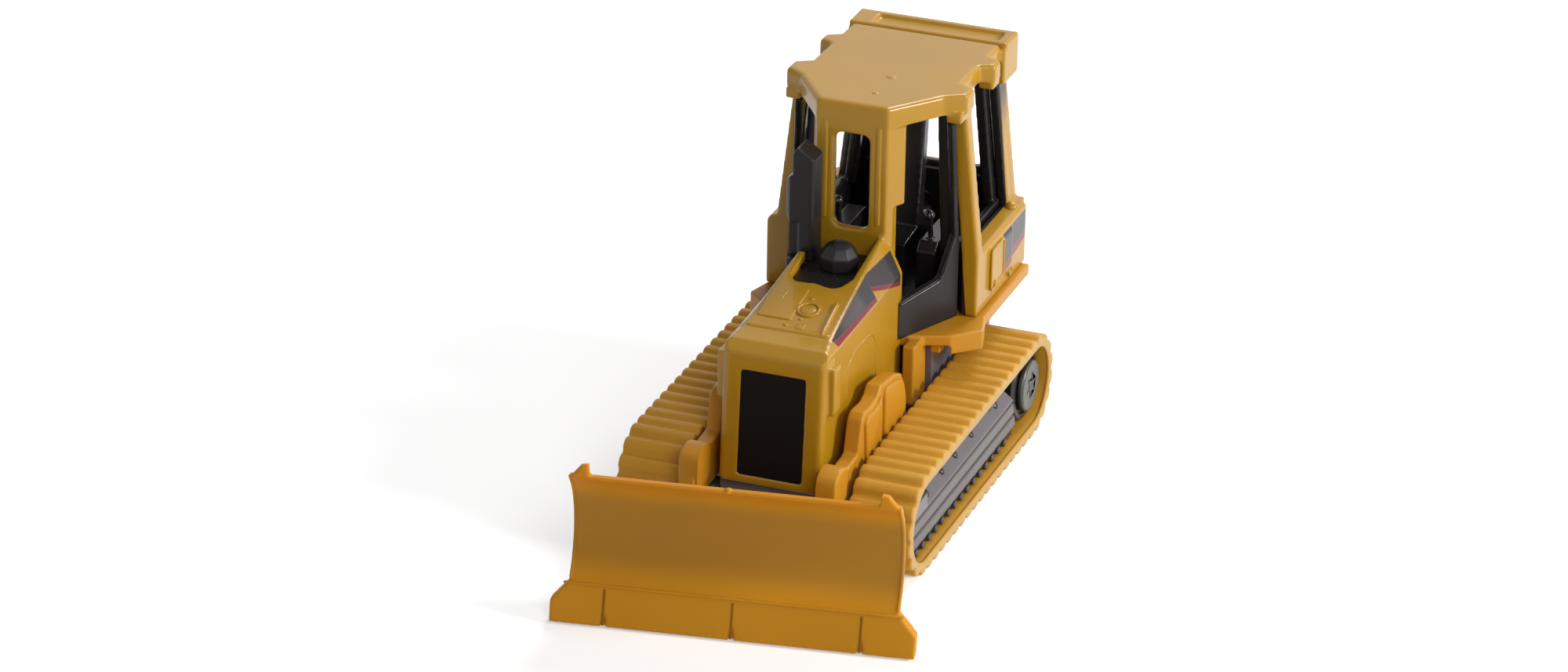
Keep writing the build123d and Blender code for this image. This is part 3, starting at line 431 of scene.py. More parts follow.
dustColor = (0.75, 0.68, 0.55)
bumpDistance = 0.05 * mm


def finish(name, look):
    # material from a dictionary of its look; the constants sit on the shader's own sockets
    material = bpy.data.materials.new(name)
    material.use_nodes = True
    tree = material.node_tree
    link = tree.links.new
    shader = tree.nodes["Principled BSDF"]
    drift = addNode(tree, "ShaderNodeGroup", node_tree=mottle)
    drift.inputs["Color"].default_value = (*look["color"], 1)
    drift.inputs["Amount"].default_value = look.get("drift", 0.04)
    drift.inputs["Scale"].default_value = look.get("driftScale", 120.0)
    drift.inputs["Roughness"].default_value = look["roughness"]
    drift.inputs["Spread"].default_value = look.get("roughnessDrift", 0.05)
    color = None
    for patch in look.get("patches", []):
        mask = patchMask(tree, patch)
        painted = addNode(tree, "ShaderNodeMix", data_type="RGBA")
        link(mask, painted.inputs[0])
        if color:
            link(color, painted.inputs[6])
        else:
            painted.inputs[6].default_value = (*look["color"], 1)
        painted.inputs[7].default_value = (*patch["color"], 1)
        color = painted.outputs[2]
    if color:
        link(color, drift.inputs["Color"])
    specks = addNode(tree, "ShaderNodeGroup", node_tree=dust)
    specks.inputs["Scale"].default_value = look.get("dustScale", 1500.0)
    specks.inputs["Cover"].default_value = look.get("dust", 0.05)
    dusty = addNode(tree, "ShaderNodeMix", data_type="RGBA")
    dusty.inputs[7].default_value = (*dustColor, 1)
    link(specks.outputs["Mask"], dusty.inputs[0])
    link(drift.outputs["Color"], dusty.inputs[6])
    link(dusty.outputs[2], shader.inputs["Base Color"])
    link(drift.outputs["Roughness"], shader.inputs["Roughness"])
    skin = addNode(tree, "ShaderNodeGroup", node_tree=grain)
    skin.inputs["Fine"].default_value = look.get("fine", 4000.0)
    skin.inputs["Slow"].default_value = look.get("slow", 400.0)
    skin.inputs["Mix"].default_value = look.get("grainMix", 0.4)
    bump = addNode(tree, "ShaderNodeBump", {"Strength": look.get("bump", 0.15), "Distance": bumpDistance})
    link(skin.outputs["Height"], bump.inputs["Height"])
    link(bump.outputs["Normal"], shader.inputs["Normal"])
    shader.inputs["Metallic"].default_value = look.get("metallic", 0.0)
    shader.inputs["Specular IOR Level"].default_value = look.get("specular", 0.5)
    shader.inputs["Coat Weight"].default_value = look.get("coat", 0.0)
    shader.inputs["Coat Roughness"].default_value = look.get("coatRoughness", 0.1)
    return material


def outside(x):
    # border that keeps what stands further from the centre plane than x; the ones below do the same for y and z
    return (1, 0, 0), (x, 0, 0)


def behind(y):
    return (0, 1, 0), (0, y, 0)


def before(y):
    return (0, -1, 0), (0, y, 0)


def above(z):
    return (0, 0, 1), (0, 0, z)


def below(z):
    return (0, 0, -1), (0, 0, z)


# Printed panel on the hood's shoulder: its top edge follows the shoulder's, its foot the hood's side; middle is the
# span of a painted reflection over it
hoodPanel = {"top": ((1, 0.0564, 0), (4.80, 3.6, 0)), "upper": 25.9, "foot": ((0, -0.0215, 1), (0, 3.6, 23.36)),
             "front": behind(3.7), "corner": 15.3, "rear": 22.3, "middle": (6.5, 12.5),
             "rearFoot": ((0, 0.30, 1), (0, 16.8, 24.2)), "line": 0.42, "lineOut": 4.95, "rearLineOut": 4.4}
tankBand = {"foot": ((0, -0.17, 1), (0, 38.9, 18.75)), "front": 38.5, "rear": 46.3, "top": 22.3, "line": 0.95,
            "out": 11.15}
cabInside = {"color": (0.012, 0.010, 0.010), "side": ((-1, 0, -0.0947), (9.60, 0, 23.0)), "y": (24.55, 47.2),
             "z": (16.1, 39.45)}
printDark, paintedReflection, printRed = (0.026, 0.022, 0.024), (0.085, 0.078, 0.074), (0.19, 0.008, 0.020)


def reverse(edge, shift=0.0):
    # the same border facing the other way, moved along its direction by shift
    direction, point = np.array(edge[0], float), np.array(edge[1], float)
    point = point + direction / np.dot(direction, direction) * shift
    return tuple(-direction), tuple(point)


def moved(edge, shift):
    direction, point = reverse(edge, shift)
    return tuple(-np.array(direction)), point


def printPatches():
    # printed bands and lines, a soft paler patch over the middle of the hood's dark printed panel that is a painted
    # reflection, then the black inside of the cab
    h, t, c = hoodPanel, tankBand, cabInside
    start, end = h["middle"]
    line, rearLine = moved(h["foot"], -h["line"]), moved(h["rearFoot"], -h["line"])
    front, rear = before(h["corner"]), behind(h["corner"])
    tank = [behind(t["front"]), before(t["rear"]), outside(t["out"])]
    return [
        {"color": printDark, "borders": [h["top"], h["foot"], h["front"], front]},
        # painted reflection: soft paler patch over the middle of the dark printed panel
        {"color": paintedReflection, "borders": [h["top"], h["foot"], behind(start), before(end)], "soft": 0.9,
         "strength": 0.8},
        {"color": printRed, "borders": [h["front"], front, reverse(h["foot"]), line, outside(h["lineOut"])]},
        {"color": printDark, "borders": [h["top"], h["rearFoot"], rear, before(h["rear"]), below(h["upper"])]},
        {"color": printRed, "borders": [rear, before(h["rear"]), reverse(h["rearFoot"]), rearLine,
                                        outside(h["rearLineOut"])]},
        {"color": printDark, "borders": tank + [t["foot"], below(t["top"])]},
        {"color": printRed, "borders": tank + [reverse(t["foot"]), moved(t["foot"], -t["line"])]},
        {"color": c["color"], "borders": [c["side"], behind(c["y"][0]), before(c["y"][1]), below(c["z"][1]),
                                          above(c["z"][0])]}]


castPaint = finish("castPaint", {"color": (0.41, 0.213, 0.008), "roughness": 0.36, "specular": 0.2, "coat": 0.35,
                                 "coatRoughness": 0.06, "drift": 0.05, "driftScale": 90.0, "slow": 600.0,
                                 "bump": 0.10, "dust": 0.06, "patches": printPatches()})
# bladePlastic: the darker band over the hollow, from z 6.0 to 13.6, is painted shade; above z 14.6 the colour turns a
# deeper orange
bladePlastic = finish("bladePlastic", {
    "color": (0.55, 0.235, 0.010), "roughness": 0.45, "specular": 0.15, "drift": 0.05, "driftScale": 60.0,
    "bump": 0.14, "dust": 0.04, "patches": [
        {"color": (0.40, 0.185, 0.017), "borders": [above(6.0), below(13.6)], "soft": 1.2},
        {"color": (0.58, 0.220, 0.009), "borders": [above(14.6)], "soft": 0.6}]})
# darker colour of the lines on the blade's cutting edge, painted shade of its grooves
paintedGrooveShade = finish("paintedGrooveShade", {"color": (0.25, 0.100, 0.008), "roughness": 0.6, "specular": 0.1, "drift": 0.05,
                                     "bump": 0.1, "dust": 0.0})
yellowPlastic = finish("yellowPlastic", {"color": (0.50, 0.222, 0.012), "roughness": 0.38, "specular": 0.25,
                                         "drift": 0.05, "driftScale": 110.0, "bump": 0.14, "dust": 0.08})
# beltPlastic: the paler outer side faces, past 16.02 from the centre plane, are a painted highlight
beltPlastic = finish("beltPlastic", {"color": (0.53, 0.265, 0.024), "roughness": 0.5, "specular": 0.25, "drift": 0.06,
                                     "driftScale": 150.0, "fine": 6000.0, "bump": 0.25, "dust": 0.08, "patches": [
                                         {"color": (0.48, 0.30, 0.10), "borders": [outside(16.02)],
                                          "soft": 0.04}]})
cabBlack = finish("cabBlack", {"color": (0.012, 0.010, 0.011), "roughness": 0.22, "specular": 0.4, "drift": 0.15,
                               "bump": 0.10, "dust": 0.06})
# near-black cab tub; the outer faces of its door panels below z 31 are a little lighter, as painted light on their lit
# side
tubBlackLitPanels = finish("tubBlackLitPanels", {
    "color": (0.010, 0.009, 0.009), "roughness": 0.30, "specular": 0.2, "drift": 0.10, "bump": 0.15, "dust": 0.06,
    "patches": [{"color": (0.018, 0.015, 0.016), "soft": 0.12,
                 "borders": [((0.912, -0.410, 0), (4.67, 21.77, 0)), below(31.0)]}]})
darkTrim = finish("darkTrim", {"color": (0.012, 0.010, 0.010), "roughness": 0.36, "specular": 0.22, "drift": 0.12,
                               "bump": 0.25, "dust": 0.10})
grilleBlack = finish("grilleBlack", {"color": (0.006, 0.004, 0.003), "roughness": 0.65, "specular": 0.1,
                                     "drift": 0.2, "bump": 0.3, "dust": 0.01})
# frameGrey: darker towards the bottom in two steps, below z 6.4 and below z 3.05, as painted shade
frameGrey = finish("frameGrey", {"color": (0.14, 0.123, 0.135), "roughness": 0.34, "metallic": 0.2, "drift": 0.08,
                                 "driftScale": 200.0, "bump": 0.2, "dust": 0.08, "patches": [
                                     {"color": (0.085, 0.073, 0.070), "borders": [below(6.4)], "soft": 0.2},
                                     {"color": (0.030, 0.025, 0.023), "borders": [below(3.05)], "soft": 0.1}]})
punchedSteel = finish("punchedSteel", {"color": (0.075, 0.078, 0.062), "roughness": 0.34, "metallic": 0.6,
                                       "drift": 0.12, "driftScale": 500.0, "bump": 0.3, "dust": 0.03})
wheelBlack = finish("wheelBlack", {"color": (0.010, 0.009, 0.009), "roughness": 0.35, "drift": 0.1, "bump": 0.15,
                                   "dust": 0.05})
print("materials made")

# CAD nodes that keep their own mesh
keptNodes = {"grille_panel": grilleBlack, "front_chassis_screw": punchedSteel, "rear_chassis_screw": punchedSteel,
             "blade_pivot_pin": punchedSteel, "arm_pin_left": punchedSteel, "arm_pin_right": punchedSteel,
             "front_axle": punchedSteel, "rear_axle": punchedSteel,
             "drive_wheel_left": wheelBlack, "drive_wheel_right": wheelBlack,
             "idler_wheel_left": wheelBlack, "idler_wheel_right": wheelBlack}
for node, material in keptNodes.items():
    mesh = frame["nodes"][node].data
    mesh.materials.clear()
    mesh.materials.append(material)
    mesh.polygons.foreach_set("use_smooth", np.ones(len(mesh.polygons), bool))
    mesh.set_sharp_from_angle(angle=math.radians(30))

# CAD nodes shown as softened copies: grid in millimetres, rounds of smoothing, share of faces kept
softenedNodes = [
    ("body_casting", "castBody", 0.17, 7, 0.38, "chassis", "cast_body", castPaint),
    ("platform_plate", "stepPlatform", 0.14, 6, 0.45, "chassis", "yellow_plastic", yellowPlastic),
    ("push_frame", "pushFrame", 0.14, 9, 0.45, "lift_frame", "yellow_plastic", yellowPlastic),
    ("blade", "bladeBody", 0.15, 5, 0.5, "blade", "yellow_plastic", bladePlastic),
    ("chassis_base", "chassisBlock", 0.2, 4, 0.4, "chassis", "cast_body", frameGrey),
    ("cab_tub", "cabTub", 0.15, 3, 0.4, "chassis", "cab_black", tubBlackLitPanels),
    ("operator_seat", "seatShell", 0.14, 7, 0.4, "chassis", "cab_black", cabBlack),
    ("dash_console", "dashConsole", 0.14, 6, 0.4, "chassis", "cab_black", cabBlack),
    ("left_armrest", "armrestLeft", 0.1, 4, 0.4, "chassis", "cab_black", cabBlack),
    ("right_armrest", "armrestRight", 0.1, 4, 0.4, "chassis", "cab_black", cabBlack),
    ("exhaust_stack", "exhaustStack", 0.1, 5, 0.5, "chassis", "dark_grey_trim", darkTrim),
    ("track_frame_left", "trackFrameLeft", 0.11, 2, 0.45, "chassis", "grey_frame", frameGrey),
    ("track_frame_right", "trackFrameRight", 0.11, 2, 0.45, "chassis", "grey_frame", frameGrey)]
for values in softenedNodes:
    softened(*values)
print("softened copies made")

# Details of the hood top, in plan positions
hoodMarks = {"filler": (0.75, 7.9), "fillerRadius": 1.12, "fillerBead": 0.19, "capInset": 0.25, "capHeight": 0.16,
             "bumps": [(0.45, 9.75, 0.26), (-0.62, 4.9, 0.24), (0.51, 6.2, 0.22), (-0.9, 8.25, 0.2)],
             "square": ((0.6, 4.5), (1.4, 5.4)), "rib": ((3.62, 4.2), (3.26, 9.4)), "ribWidth": 0.27,
             "plate": ((-4.1, 5.7), (-0.35, 11.3)), "bar": ((-2.6, 8.8), (-2.45, 10.4)), "barWidth": 0.16,
             "squarePad": (0.10, 0.1, 0.05), "platePad": (0.13, 0.3, 0.12), "sink": 0.1, "lift": 0.02,
             "bumpRise": 0.55}


def rectangle(low, high):
    return [low, (high[0], low[1]), high, (low[0], high[1])]


def castDetail(maker, name, *values, **options):
    return maker(name, *values, "chassis", "cast_body", castPaint, **options)


def hoodDetails():
    # filler ring and cap, domes, two flat pads, and a rib and a bar as beads, all standing on the sloping hood top
    m = hoodMarks
    turn = np.linspace(0, 2 * math.pi, 32, endpoint=False)
    centre = np.array(onHood(*m["filler"]))
    normal = planeNormal("hood")
    ring = centre + m["fillerRadius"] * np.stack([np.cos(turn), np.sin(turn)], 1)
    castDetail(bead, "fillerRing", onPlane("hood", ring, m["lift"]), m["fillerBead"], normal, closed=True)
    spot = onPlane("hood", [centre], 0.0)[0]
    castDetail(turned, "fillerCap", domeProfile(m["fillerRadius"] - m["capInset"], m["capHeight"]), spot, normal)
    for index, (x, y, radius) in enumerate(m["bumps"]):
        spot = onPlane("hood", [onHood(x, y)], 0.0)[0]
        castDetail(turned, f"hoodBump{index}", domeProfile(radius, radius * m["bumpRise"]), spot, normal, steps=16)
    for name in ("square", "plate"):
        corners = [onHood(*p) for p in rectangle(*m[name])]
        castDetail(pad, "hood" + name.capitalize(), "hood", corners, -m["sink"], *m[name + "Pad"])
    for name in ("rib", "bar"):
        path = np.linspace(onHood(*m[name][0]), onHood(*m[name][1]), 8)
        castDetail(bead, "hood" + name.capitalize(), onPlane("hood", path, m["lift"]), m[name + "Width"], normal)


# Embossed door outline on each side of the hood
hoodDoor = {"corners": [(6.4, 12.2), (6.4, 20.4), (15.2, 20.4), (15.2, 12.2)], "round": 3.0, "bead": 0.17,
            "face": 5.58, "flat": 0.6}


def hoodDoors():
    path = roundedOutline(hoodDoor["corners"], hoodDoor["round"], 8, closed=False)
    path = np.concatenate([np.linspace(a, b, 6)[:-1] for a, b in zip(path[:-1], path[1:])] + [path[-1:]])
    for name, flip in bothSides:
        castDetail(bead, "hoodDoorEdge" + name, onPlane("side", path, hoodDoor["face"]), hoodDoor["bead"], (1, 0, 0),
                   flip=flip, flat=hoodDoor["flat"])


# Soft rim of the brow, and the two upright ridges beside the front window
browRim = {"y": 4.15, "half": 4.15, "bead": 0.5, "sink": 0.12, "flat": 0.55}
cabRidges = {"x": 2.95, "face": 22.0, "z": (28.8, 39.2), "bead": 0.36, "sink": 0.05, "flat": 0.5}


def castRidges():
    # flattened beads, sunk in their faces
    b, c = browRim, cabRidges
    path = np.linspace(onHood(-b["half"], b["y"]), onHood(b["half"], b["y"]), 10)
    castDetail(bead, "browRim", onPlane("hood", path, -b["sink"]), b["bead"], planeNormal("hood"), flat=b["flat"])
    path = np.linspace((c["x"], c["z"][0]), (c["x"], c["z"][1]), 10)
    for name, flip in bothSides:
        castDetail(bead, "cabRidge" + name, onPlane("front", path, -c["face"] - c["sink"]), c["bead"], (0, -1, 0),
                   flip=flip, flat=c["flat"])


hoodDetails()
hoodDoors()
castRidges()
print("hood details made")

# Well behind the hood top: the black base and the pre-cleaner's faceted ball
well = {"outline": [(-3.2, 13.4), (-2.4, 12.4), (-0.3, 12.65), (1.2, 12.2), (1.9, 12.25), (2.6, 13.0), (3.2, 14.4),
                    (3.2, 22.0), (-5.6, 22.0), (-5.6, 17.6), (-3.2, 17.6)],
        "gap": 0.1, "floor": 24.2, "base": 0.9, "ball": (0.4, 17.8, 26.0), "radius": 2.2, "sides": 8,
        "rings": [-55, -18, 18, 50, 74], "facetRound": 0.16, "facetAngle": 8}


def makeWell():
    # ball: rings at some angles over its equator, radius * cos wide and radius * sin high, with few sides
    w = well
    outline = insetOutline(np.array(w["outline"]), w["gap"])
    base = pad("wellBase", "top", outline, w["floor"], w["floor"] + w["base"], 0.3, 0.15, "chassis",
               "dark_grey_trim", darkTrim)
    turn = np.radians(w["rings"])
    profile = [(w["radius"] * math.cos(a), w["radius"] * math.sin(a)) for a in turn]
    ball = turned("precleanerBall", profile, w["ball"], (0, 0, 1), "chassis", "dark_grey_trim", darkTrim,
                  steps=w["sides"], sharp=80)
    soft = ball.modifiers.new("softFacets", "BEVEL")
    soft.width = w["facetRound"] * mm
    soft.segments = 2
    soft.limit_method = "ANGLE"
    soft.angle_limit = math.radians(w["facetAngle"])
    ball.modifiers.new("flatFaces", "WEIGHTED_NORMAL")
    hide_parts("air_precleaner")


makeWell()
print("well made")

# Door panels: the bright moulded line along their sloping top edge
doorLine = {"path": [(0.7, 4.0), (6.9, 4.95), (8.8, 9.2)], "round": 0.9, "bead": 0.15,
            "foot": 16.0, "lift": 0.03}


def doorLines():
    path = roundedOutline(doorLine["path"], doorLine["round"], 6, closed=False)
    for name, flip in bothSides:
        bead("doorLine" + name, onPlane("door", path + (0, doorLine["foot"]), doorLine["lift"]), doorLine["bead"],
             planeNormal("door"), "chassis", "cab_black", cabBlack, flip=flip)


# Side tanks: outline of the raised panel, bumps near its foot, and the round knob at the rear post's foot
tank = {"face": 11.4, "panel": [(34.3, 17.5), (34.3, 22.1), (38.3, 22.1), (38.3, 17.9)], "bead": 0.13,
        "bumps": [(35.6, 18.0, 0.32), (40.6, 16.9, 0.28), (42.0, 17.0, 0.24)],
        "knob": (10.35, 44.4, 22.9), "knobRadius": 0.75, "knobHeight": 0.7, "knobAxis": (0.15, 0, 1),
        "rise": 0.25, "riseEnd": 41.5, "bumpRise": 0.7, "round": 0.5}


def tankDetails():
    t = tank
    outline = roundedOutline(t["panel"], t["round"], 5)
    for name, flip in bothSides:
        path = onPlane("side", outline, t["face"] + t["rise"])
        castDetail(bead, "tankPanelEdge" + name, path, t["bead"], (1, 0, 0), closed=True, flip=flip)
        for index, (y, z, radius) in enumerate(t["bumps"]):
            spot = (t["face"] + (t["rise"] if y < t["riseEnd"] else 0.0), y, z)
            castDetail(turned, f"tankBump{name}{index}", domeProfile(radius, radius * t["bumpRise"]), spot,
                       (1, 0, 0), steps=16, flip=flip)
        castDetail(turned, "tankKnob" + name, domeProfile(t["knobRadius"], t["knobHeight"], 0.3), t["knob"],
                   t["knobAxis"], flip=flip)


# Roof: two low round marks left by the mould, as x, y, radius and height; the roof falls a little to the rear
roof = {"marks": [(1.07, 31.0, 0.55, 0.10), (1.1, 25.9, 0.4, 0.08)], "top": 41.8, "fall": 0.6, "front": 22.0,
        "length": 22.8, "normal": (0, 0.026, 1)}


def roofDetails():
    # z = top - fall * (y - front) / length
    r = roof
    for index, (x, y, radius, height) in enumerate(r["marks"]):
        z = r["top"] - r["fall"] * (y - r["front"]) / r["length"]
        castDetail(turned, f"roofMark{index}", domeProfile(radius, height), (x, y, z), r["normal"])


doorLines()
tankDetails()
roofDetails()
print("cab and tank details made")

# Track frames: the short round pin that stands in a notch; rear axle: the star of its punched head, a black pad that
# is painted shade of the punched recess
framePin = {"foot": (14.35, 27.0, 7.6), "axis": (0.45, 0, 1), "radius": 0.34, "height": 0.75}
star = {"centre": (37.7, 5.7), "face": 15.45, "points": 6, "outer": 1.55, "inner": 0.62, "height": 0.04,
        "sink": 0.2, "turn": 0.3}


def frameDetails():
    # star: corners at equal turns, its radius alternating between outer and inner
    p, s = framePin, star
    profile = [(p["radius"], -0.6), (p["radius"], p["height"] - 0.12), (p["radius"] - 0.1, p["height"]),
               (0.05, p["height"] + 0.02)]
    turn = np.arange(2 * s["points"]) * math.pi / s["points"] + s["turn"]
    reach = np.where(np.arange(2 * s["points"]) % 2 == 0, s["outer"], s["inner"])
    outline = np.array(s["centre"]) + np.stack([np.cos(turn), np.sin(turn)], 1) * reach[:, None]
    for name, flip in bothSides:
        turned("framePin" + name, profile, p["foot"], p["axis"], "chassis", "grey_frame", frameGrey, steps=20,
               flip=flip)
        # black star: painted shade of the recess punched in the steel head
        pad("punchStar" + name, "side", outline, s["face"] - s["sink"], s["face"] + s["height"], 0.12, 0.02, "chassis",
            "steel", wheelBlack, flip=flip)


frameDetails()

# Dark domes along the bevel of each track frame, painted shade of its notches, as x and y; on the bevel x + z is the
# same everywhere
notchShadeSpots = {"spots": [(14.45, 28.2), (14.4, 20.5), (14.45, 15.3), (14.45, 11.1), (14.6, 5.9)], "sum": 21.8,
              "radius": 0.5, "height": 0.28, "sink": 0.2}


def notchShadeRow():
    profile = domeProfile(notchShadeSpots["radius"], notchShadeSpots["height"], notchShadeSpots["sink"])
    for name, flip in bothSides:
        for index, (x, y) in enumerate(notchShadeSpots["spots"]):
            turned(f"notchShadeDome{name}{index}", profile, (x, y, notchShadeSpots["sum"] - x), (1, 0, 1), "chassis",
                   "grey_frame", wheelBlack, steps=20, flip=flip)


notchShadeRow()

# Push arms: raised panels on their outer faces and the knuckle block at the front end of each
arm = {"face": 8.35, "rise": 0.36, "sink": 0.3, "round": 0.9, "edge": 0.24,
       "rear": [(9.9, 10.4), (16.3, 10.6), (16.2, 13.1), (15.2, 14.9), (13.3, 15.7), (9.9, 16.1)],
       "front": [(4.7, 9.4), (9.0, 9.4), (9.0, 15.9), (8.2, 15.3), (7.2, 15.0), (4.9, 15.1), (4.2, 14.6)],
       "knuckle": [(-4.6, 8.4), (-1.2, 8.4), (-0.6, 11.3), (-1.2, 12.3), (-2.6, 12.6), (-4.2, 12.0), (-4.6, 11.0)],
       "knuckleX": (6.4, 8.6), "knuckleRound": 0.6, "knuckleEdge": 0.35}


def armDetails():
    a = arm
    for name, flip in bothSides:
        for part in ("rear", "front"):
            pad("armPanel" + part.capitalize() + name, "side", a[part], a["face"] - a["sink"], a["face"] + a["rise"],
                a["round"], a["edge"], "lift_frame", "yellow_plastic", yellowPlastic, flip=flip)
        low, high = a["knuckleX"]
        pad("armKnuckle" + name, "side", a["knuckle"], low, high, a["knuckleRound"], a["knuckleEdge"], "lift_frame",
            "yellow_plastic", yellowPlastic, flip=flip)


armDetails()
print("frame and arm details made")

# Track belts
belt = {"gaugeHalf": 12.58, "width": 7.0, "height": 11.4, "wall": 0.8, "rib": 0.5, "ribs": 50,
        "frontY": 2.6, "wheelbase": 35.1, "stepsPerRib": 10, "edgeRound": 0.28, "lip": 0.2, "lipDepth": 0.08,
        "crestPower": 2.2, "lipSteps": 240}


def beltPath(s, root):
    # centre and turn at length s: two straights and two half circles round the wheels
    arc = math.pi * root
    wheelbase = belt["wheelbase"]
    rear = belt["frontY"] + wheelbase
    top = s < wheelbase
    back = ~top & (s < wheelbase + arc)
    foot = ~top & ~back & (s < 2 * wheelbase + arc)
    turn = np.select([top, back, foot], [0 * s, (s - wheelbase) / root, 0 * s + math.pi], (s - 2 * wheelbase) / root)
    centre = np.select([top, back, foot], [belt["frontY"] + s, 0 * s + rear, rear - (s - wheelbase - arc)],
                       0 * s + belt["frontY"])
    return centre, turn


def trackBelt(side, name, node):
    # ribbed ring: an oval path with a section of outer face, sides and inner face carried along it; the outer face
    # is lifted by a flat-topped cosine wave, one crest for each rib
    b = belt
    axleZ = b["height"] / 2
    root = axleZ - b["rib"]
    loop = 2 * b["wheelbase"] + 2 * math.pi * root
    count = b["ribs"] * b["stepsPerRib"]
    s = np.arange(count) / count * loop
    wave = (1 + np.cos(2 * math.pi * (s * b["ribs"] / loop - 0.5))) / 2
    crest = b["rib"] * (1 - (1 - wave) ** b["crestPower"])
    centre, turn = beltPath(s, root)
    half = b["width"] / 2
    r = b["edgeRound"]
    quarter = np.linspace(0, math.pi / 2, 4)
    across = np.concatenate([np.linspace(-half + r, half - r, 9), half - r + r * np.sin(quarter[1:]),
                             half - r + r * np.cos(quarter), np.linspace(half - r, -half + r, 5)[1:],
                             -half + r - r * np.sin(quarter[1:]), -half + r - r * np.cos(quarter)[:-1]])
    fall = np.concatenate([np.zeros(9), r * (1 - np.cos(quarter[1:])), b["wall"] - r + r * np.sin(quarter),
                           np.full(4, b["wall"]), b["wall"] - r * (1 - np.cos(quarter[1:])),
                           r - r * np.sin(quarter[:-1])])
    lift = np.where(fall < r + 1e-6, 1.0, np.where(fall < b["wall"] - r, 0.5, 0.0))
    radius = root + crest[:, None] * lift[None] - fall[None]
    x = np.broadcast_to(across[None], radius.shape)
    y = centre[:, None] + radius * np.sin(turn)[:, None]
    z = axleZ + radius * np.cos(turn)[:, None]
    points = np.stack([side * (b["gaugeHalf"] + x), y, z], -1).reshape(-1, 3)
    faces = gridFaces(count, len(across), wrapRows=True, wrapColumns=True)
    piece = pieceFromFaces(name, points, faces, "chassis", beltPlastic, 60)
    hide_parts(node)
    radius = root - b["wall"] + b["lipDepth"]
    centre, turn = beltPath(np.arange(b["lipSteps"]) / b["lipSteps"] * loop, root)
    for edge, offset in (("Outer", half - b["lip"]), ("Inner", -half + b["lip"])):
        path = np.stack([0 * turn + side * (b["gaugeHalf"] + offset), centre + radius * np.sin(turn),
                         axleZ + radius * np.cos(turn)], 1)
        bead(name + edge + "Lip", path, b["lip"], (1, 0, 0), "chassis", "belt_rubber", beltPlastic, closed=True)


trackBelt(1, "trackBeltLeft", "track_belt_left")
trackBelt(-1, "trackBeltRight", "track_belt_right")
print("track belts made")

# Blade: a raised rim round its hollow face, a ledge below the crease and a small nub on the top lip. Built square
# to the pin, as the CAD blade is, and turned with it. The rim follows the hollow's arc through its three heights.
bladeRim = {"half": 16.75, "offset": 1.0, "reach": 13.0, "crease": 4.4, "top": 16.3, "creaseSet": 1.3,
            "middleSet": 3.7, "topSet": 0.9, "rim": 0.2, "ledge": 0.16, "nub": (-0.6, 0.45),
            "grooves": (-13.07, 0.0, 13.07), "grooveZ": (0.5, 3.85), "grooveSize": 0.13, "grooveFlat": 0.35,
            "plate": (0.1, 1.3, 0.2), "ledgeReach": 0.4, "ledgeDrop": 0.12}


def hollowArc(z):
    # circle through the crease, the deepest line and the top lip, as distance behind the cutting edge
    b = bladeRim
    heights = np.array([b["crease"], (b["crease"] + b["top"]) / 2, b["top"]])
    sets = np.array([b["creaseSet"], b["middleSet"], b["topSet"]])
    system = np.stack([2 * sets, 2 * heights, np.ones(3)], 1)
    middleSet, middleZ, rest = np.linalg.solve(system, sets ** 2 + heights ** 2)
    radius = math.sqrt(rest + middleSet ** 2 + middleZ ** 2)
    return middleSet + np.sqrt(radius ** 2 - (z - middleZ) ** 2) * np.sign(b["middleSet"] - middleSet)


def bladeDetails():
    b = bladeRim
    edge = -b["reach"]
    inset = b["rim"] * 0.7
    low, high = b["crease"] + 0.3, b["top"] - inset
    z = np.linspace(low, high, 16)
    side = np.stack([0 * z + b["half"] - inset, edge + hollowArc(z) + 0.1, z], 1)
    top = np.linspace(b["half"] - inset, -b["half"] + inset, 30)[1:-1]
    top = np.stack([top, 0 * top + side[-1, 1], 0 * top + high], 1)
    path = np.concatenate([side, top, (side * (-1, 1, 1))[::-1]]) + (b["offset"], 0, 0)
    bead("bladeRim", path, b["rim"], (0, 1, 0.2), "blade", "yellow_plastic", bladePlastic, move=bladePlace)
    across = np.linspace(-b["half"] - b["ledgeReach"], b["half"] + b["ledgeReach"], 12)
    path = np.stack([across + b["offset"], 0 * across + edge + b["creaseSet"] - 0.02,
                     0 * across + b["crease"] - b["ledgeDrop"]], 1)
    bead("bladeLedge", path, b["ledge"], (0, 1, 0), "blade", "yellow_plastic", bladePlastic, move=bladePlace)
    # dark lines between the four plates of the cutting edge, painted shade of the grooves there, on the plate that
    # leans back evenly from foot to crease
    foot, head, footZ = b["plate"]
    z = np.linspace(*b["grooveZ"], 8)
    lean = foot + (head - foot) * (z - footZ) / (b["crease"] - footZ)
    for index, x in enumerate(b["grooves"]):
        path = np.stack([0 * z + x + b["offset"], edge + lean, z], 1)
        bead(f"grooveShadowLine{index}", path, b["grooveSize"], (0, -1, 0.28), "blade", "yellow_plastic", paintedGrooveShade,
             move=bladePlace, flat=b["grooveFlat"])
    spot = bladePlace([(b["nub"][0] + b["offset"], edge + b["topSet"] + 0.4, b["top"] - 0.05)])[0]
    turned("bladeNub", domeProfile(b["nub"][1], 0.3), spot, (0, 0, 1), "blade", "yellow_plastic", bladePlastic)


bladeDetails()
print("blade details made")

camera = {"place": (178.47, -479.65, 260.42), "azimuth": 20.3, "elevation": 24.72, "roll": 1.0,
          "lens": 128.19, "sensor": 36.0, "clipStart": 0.01}


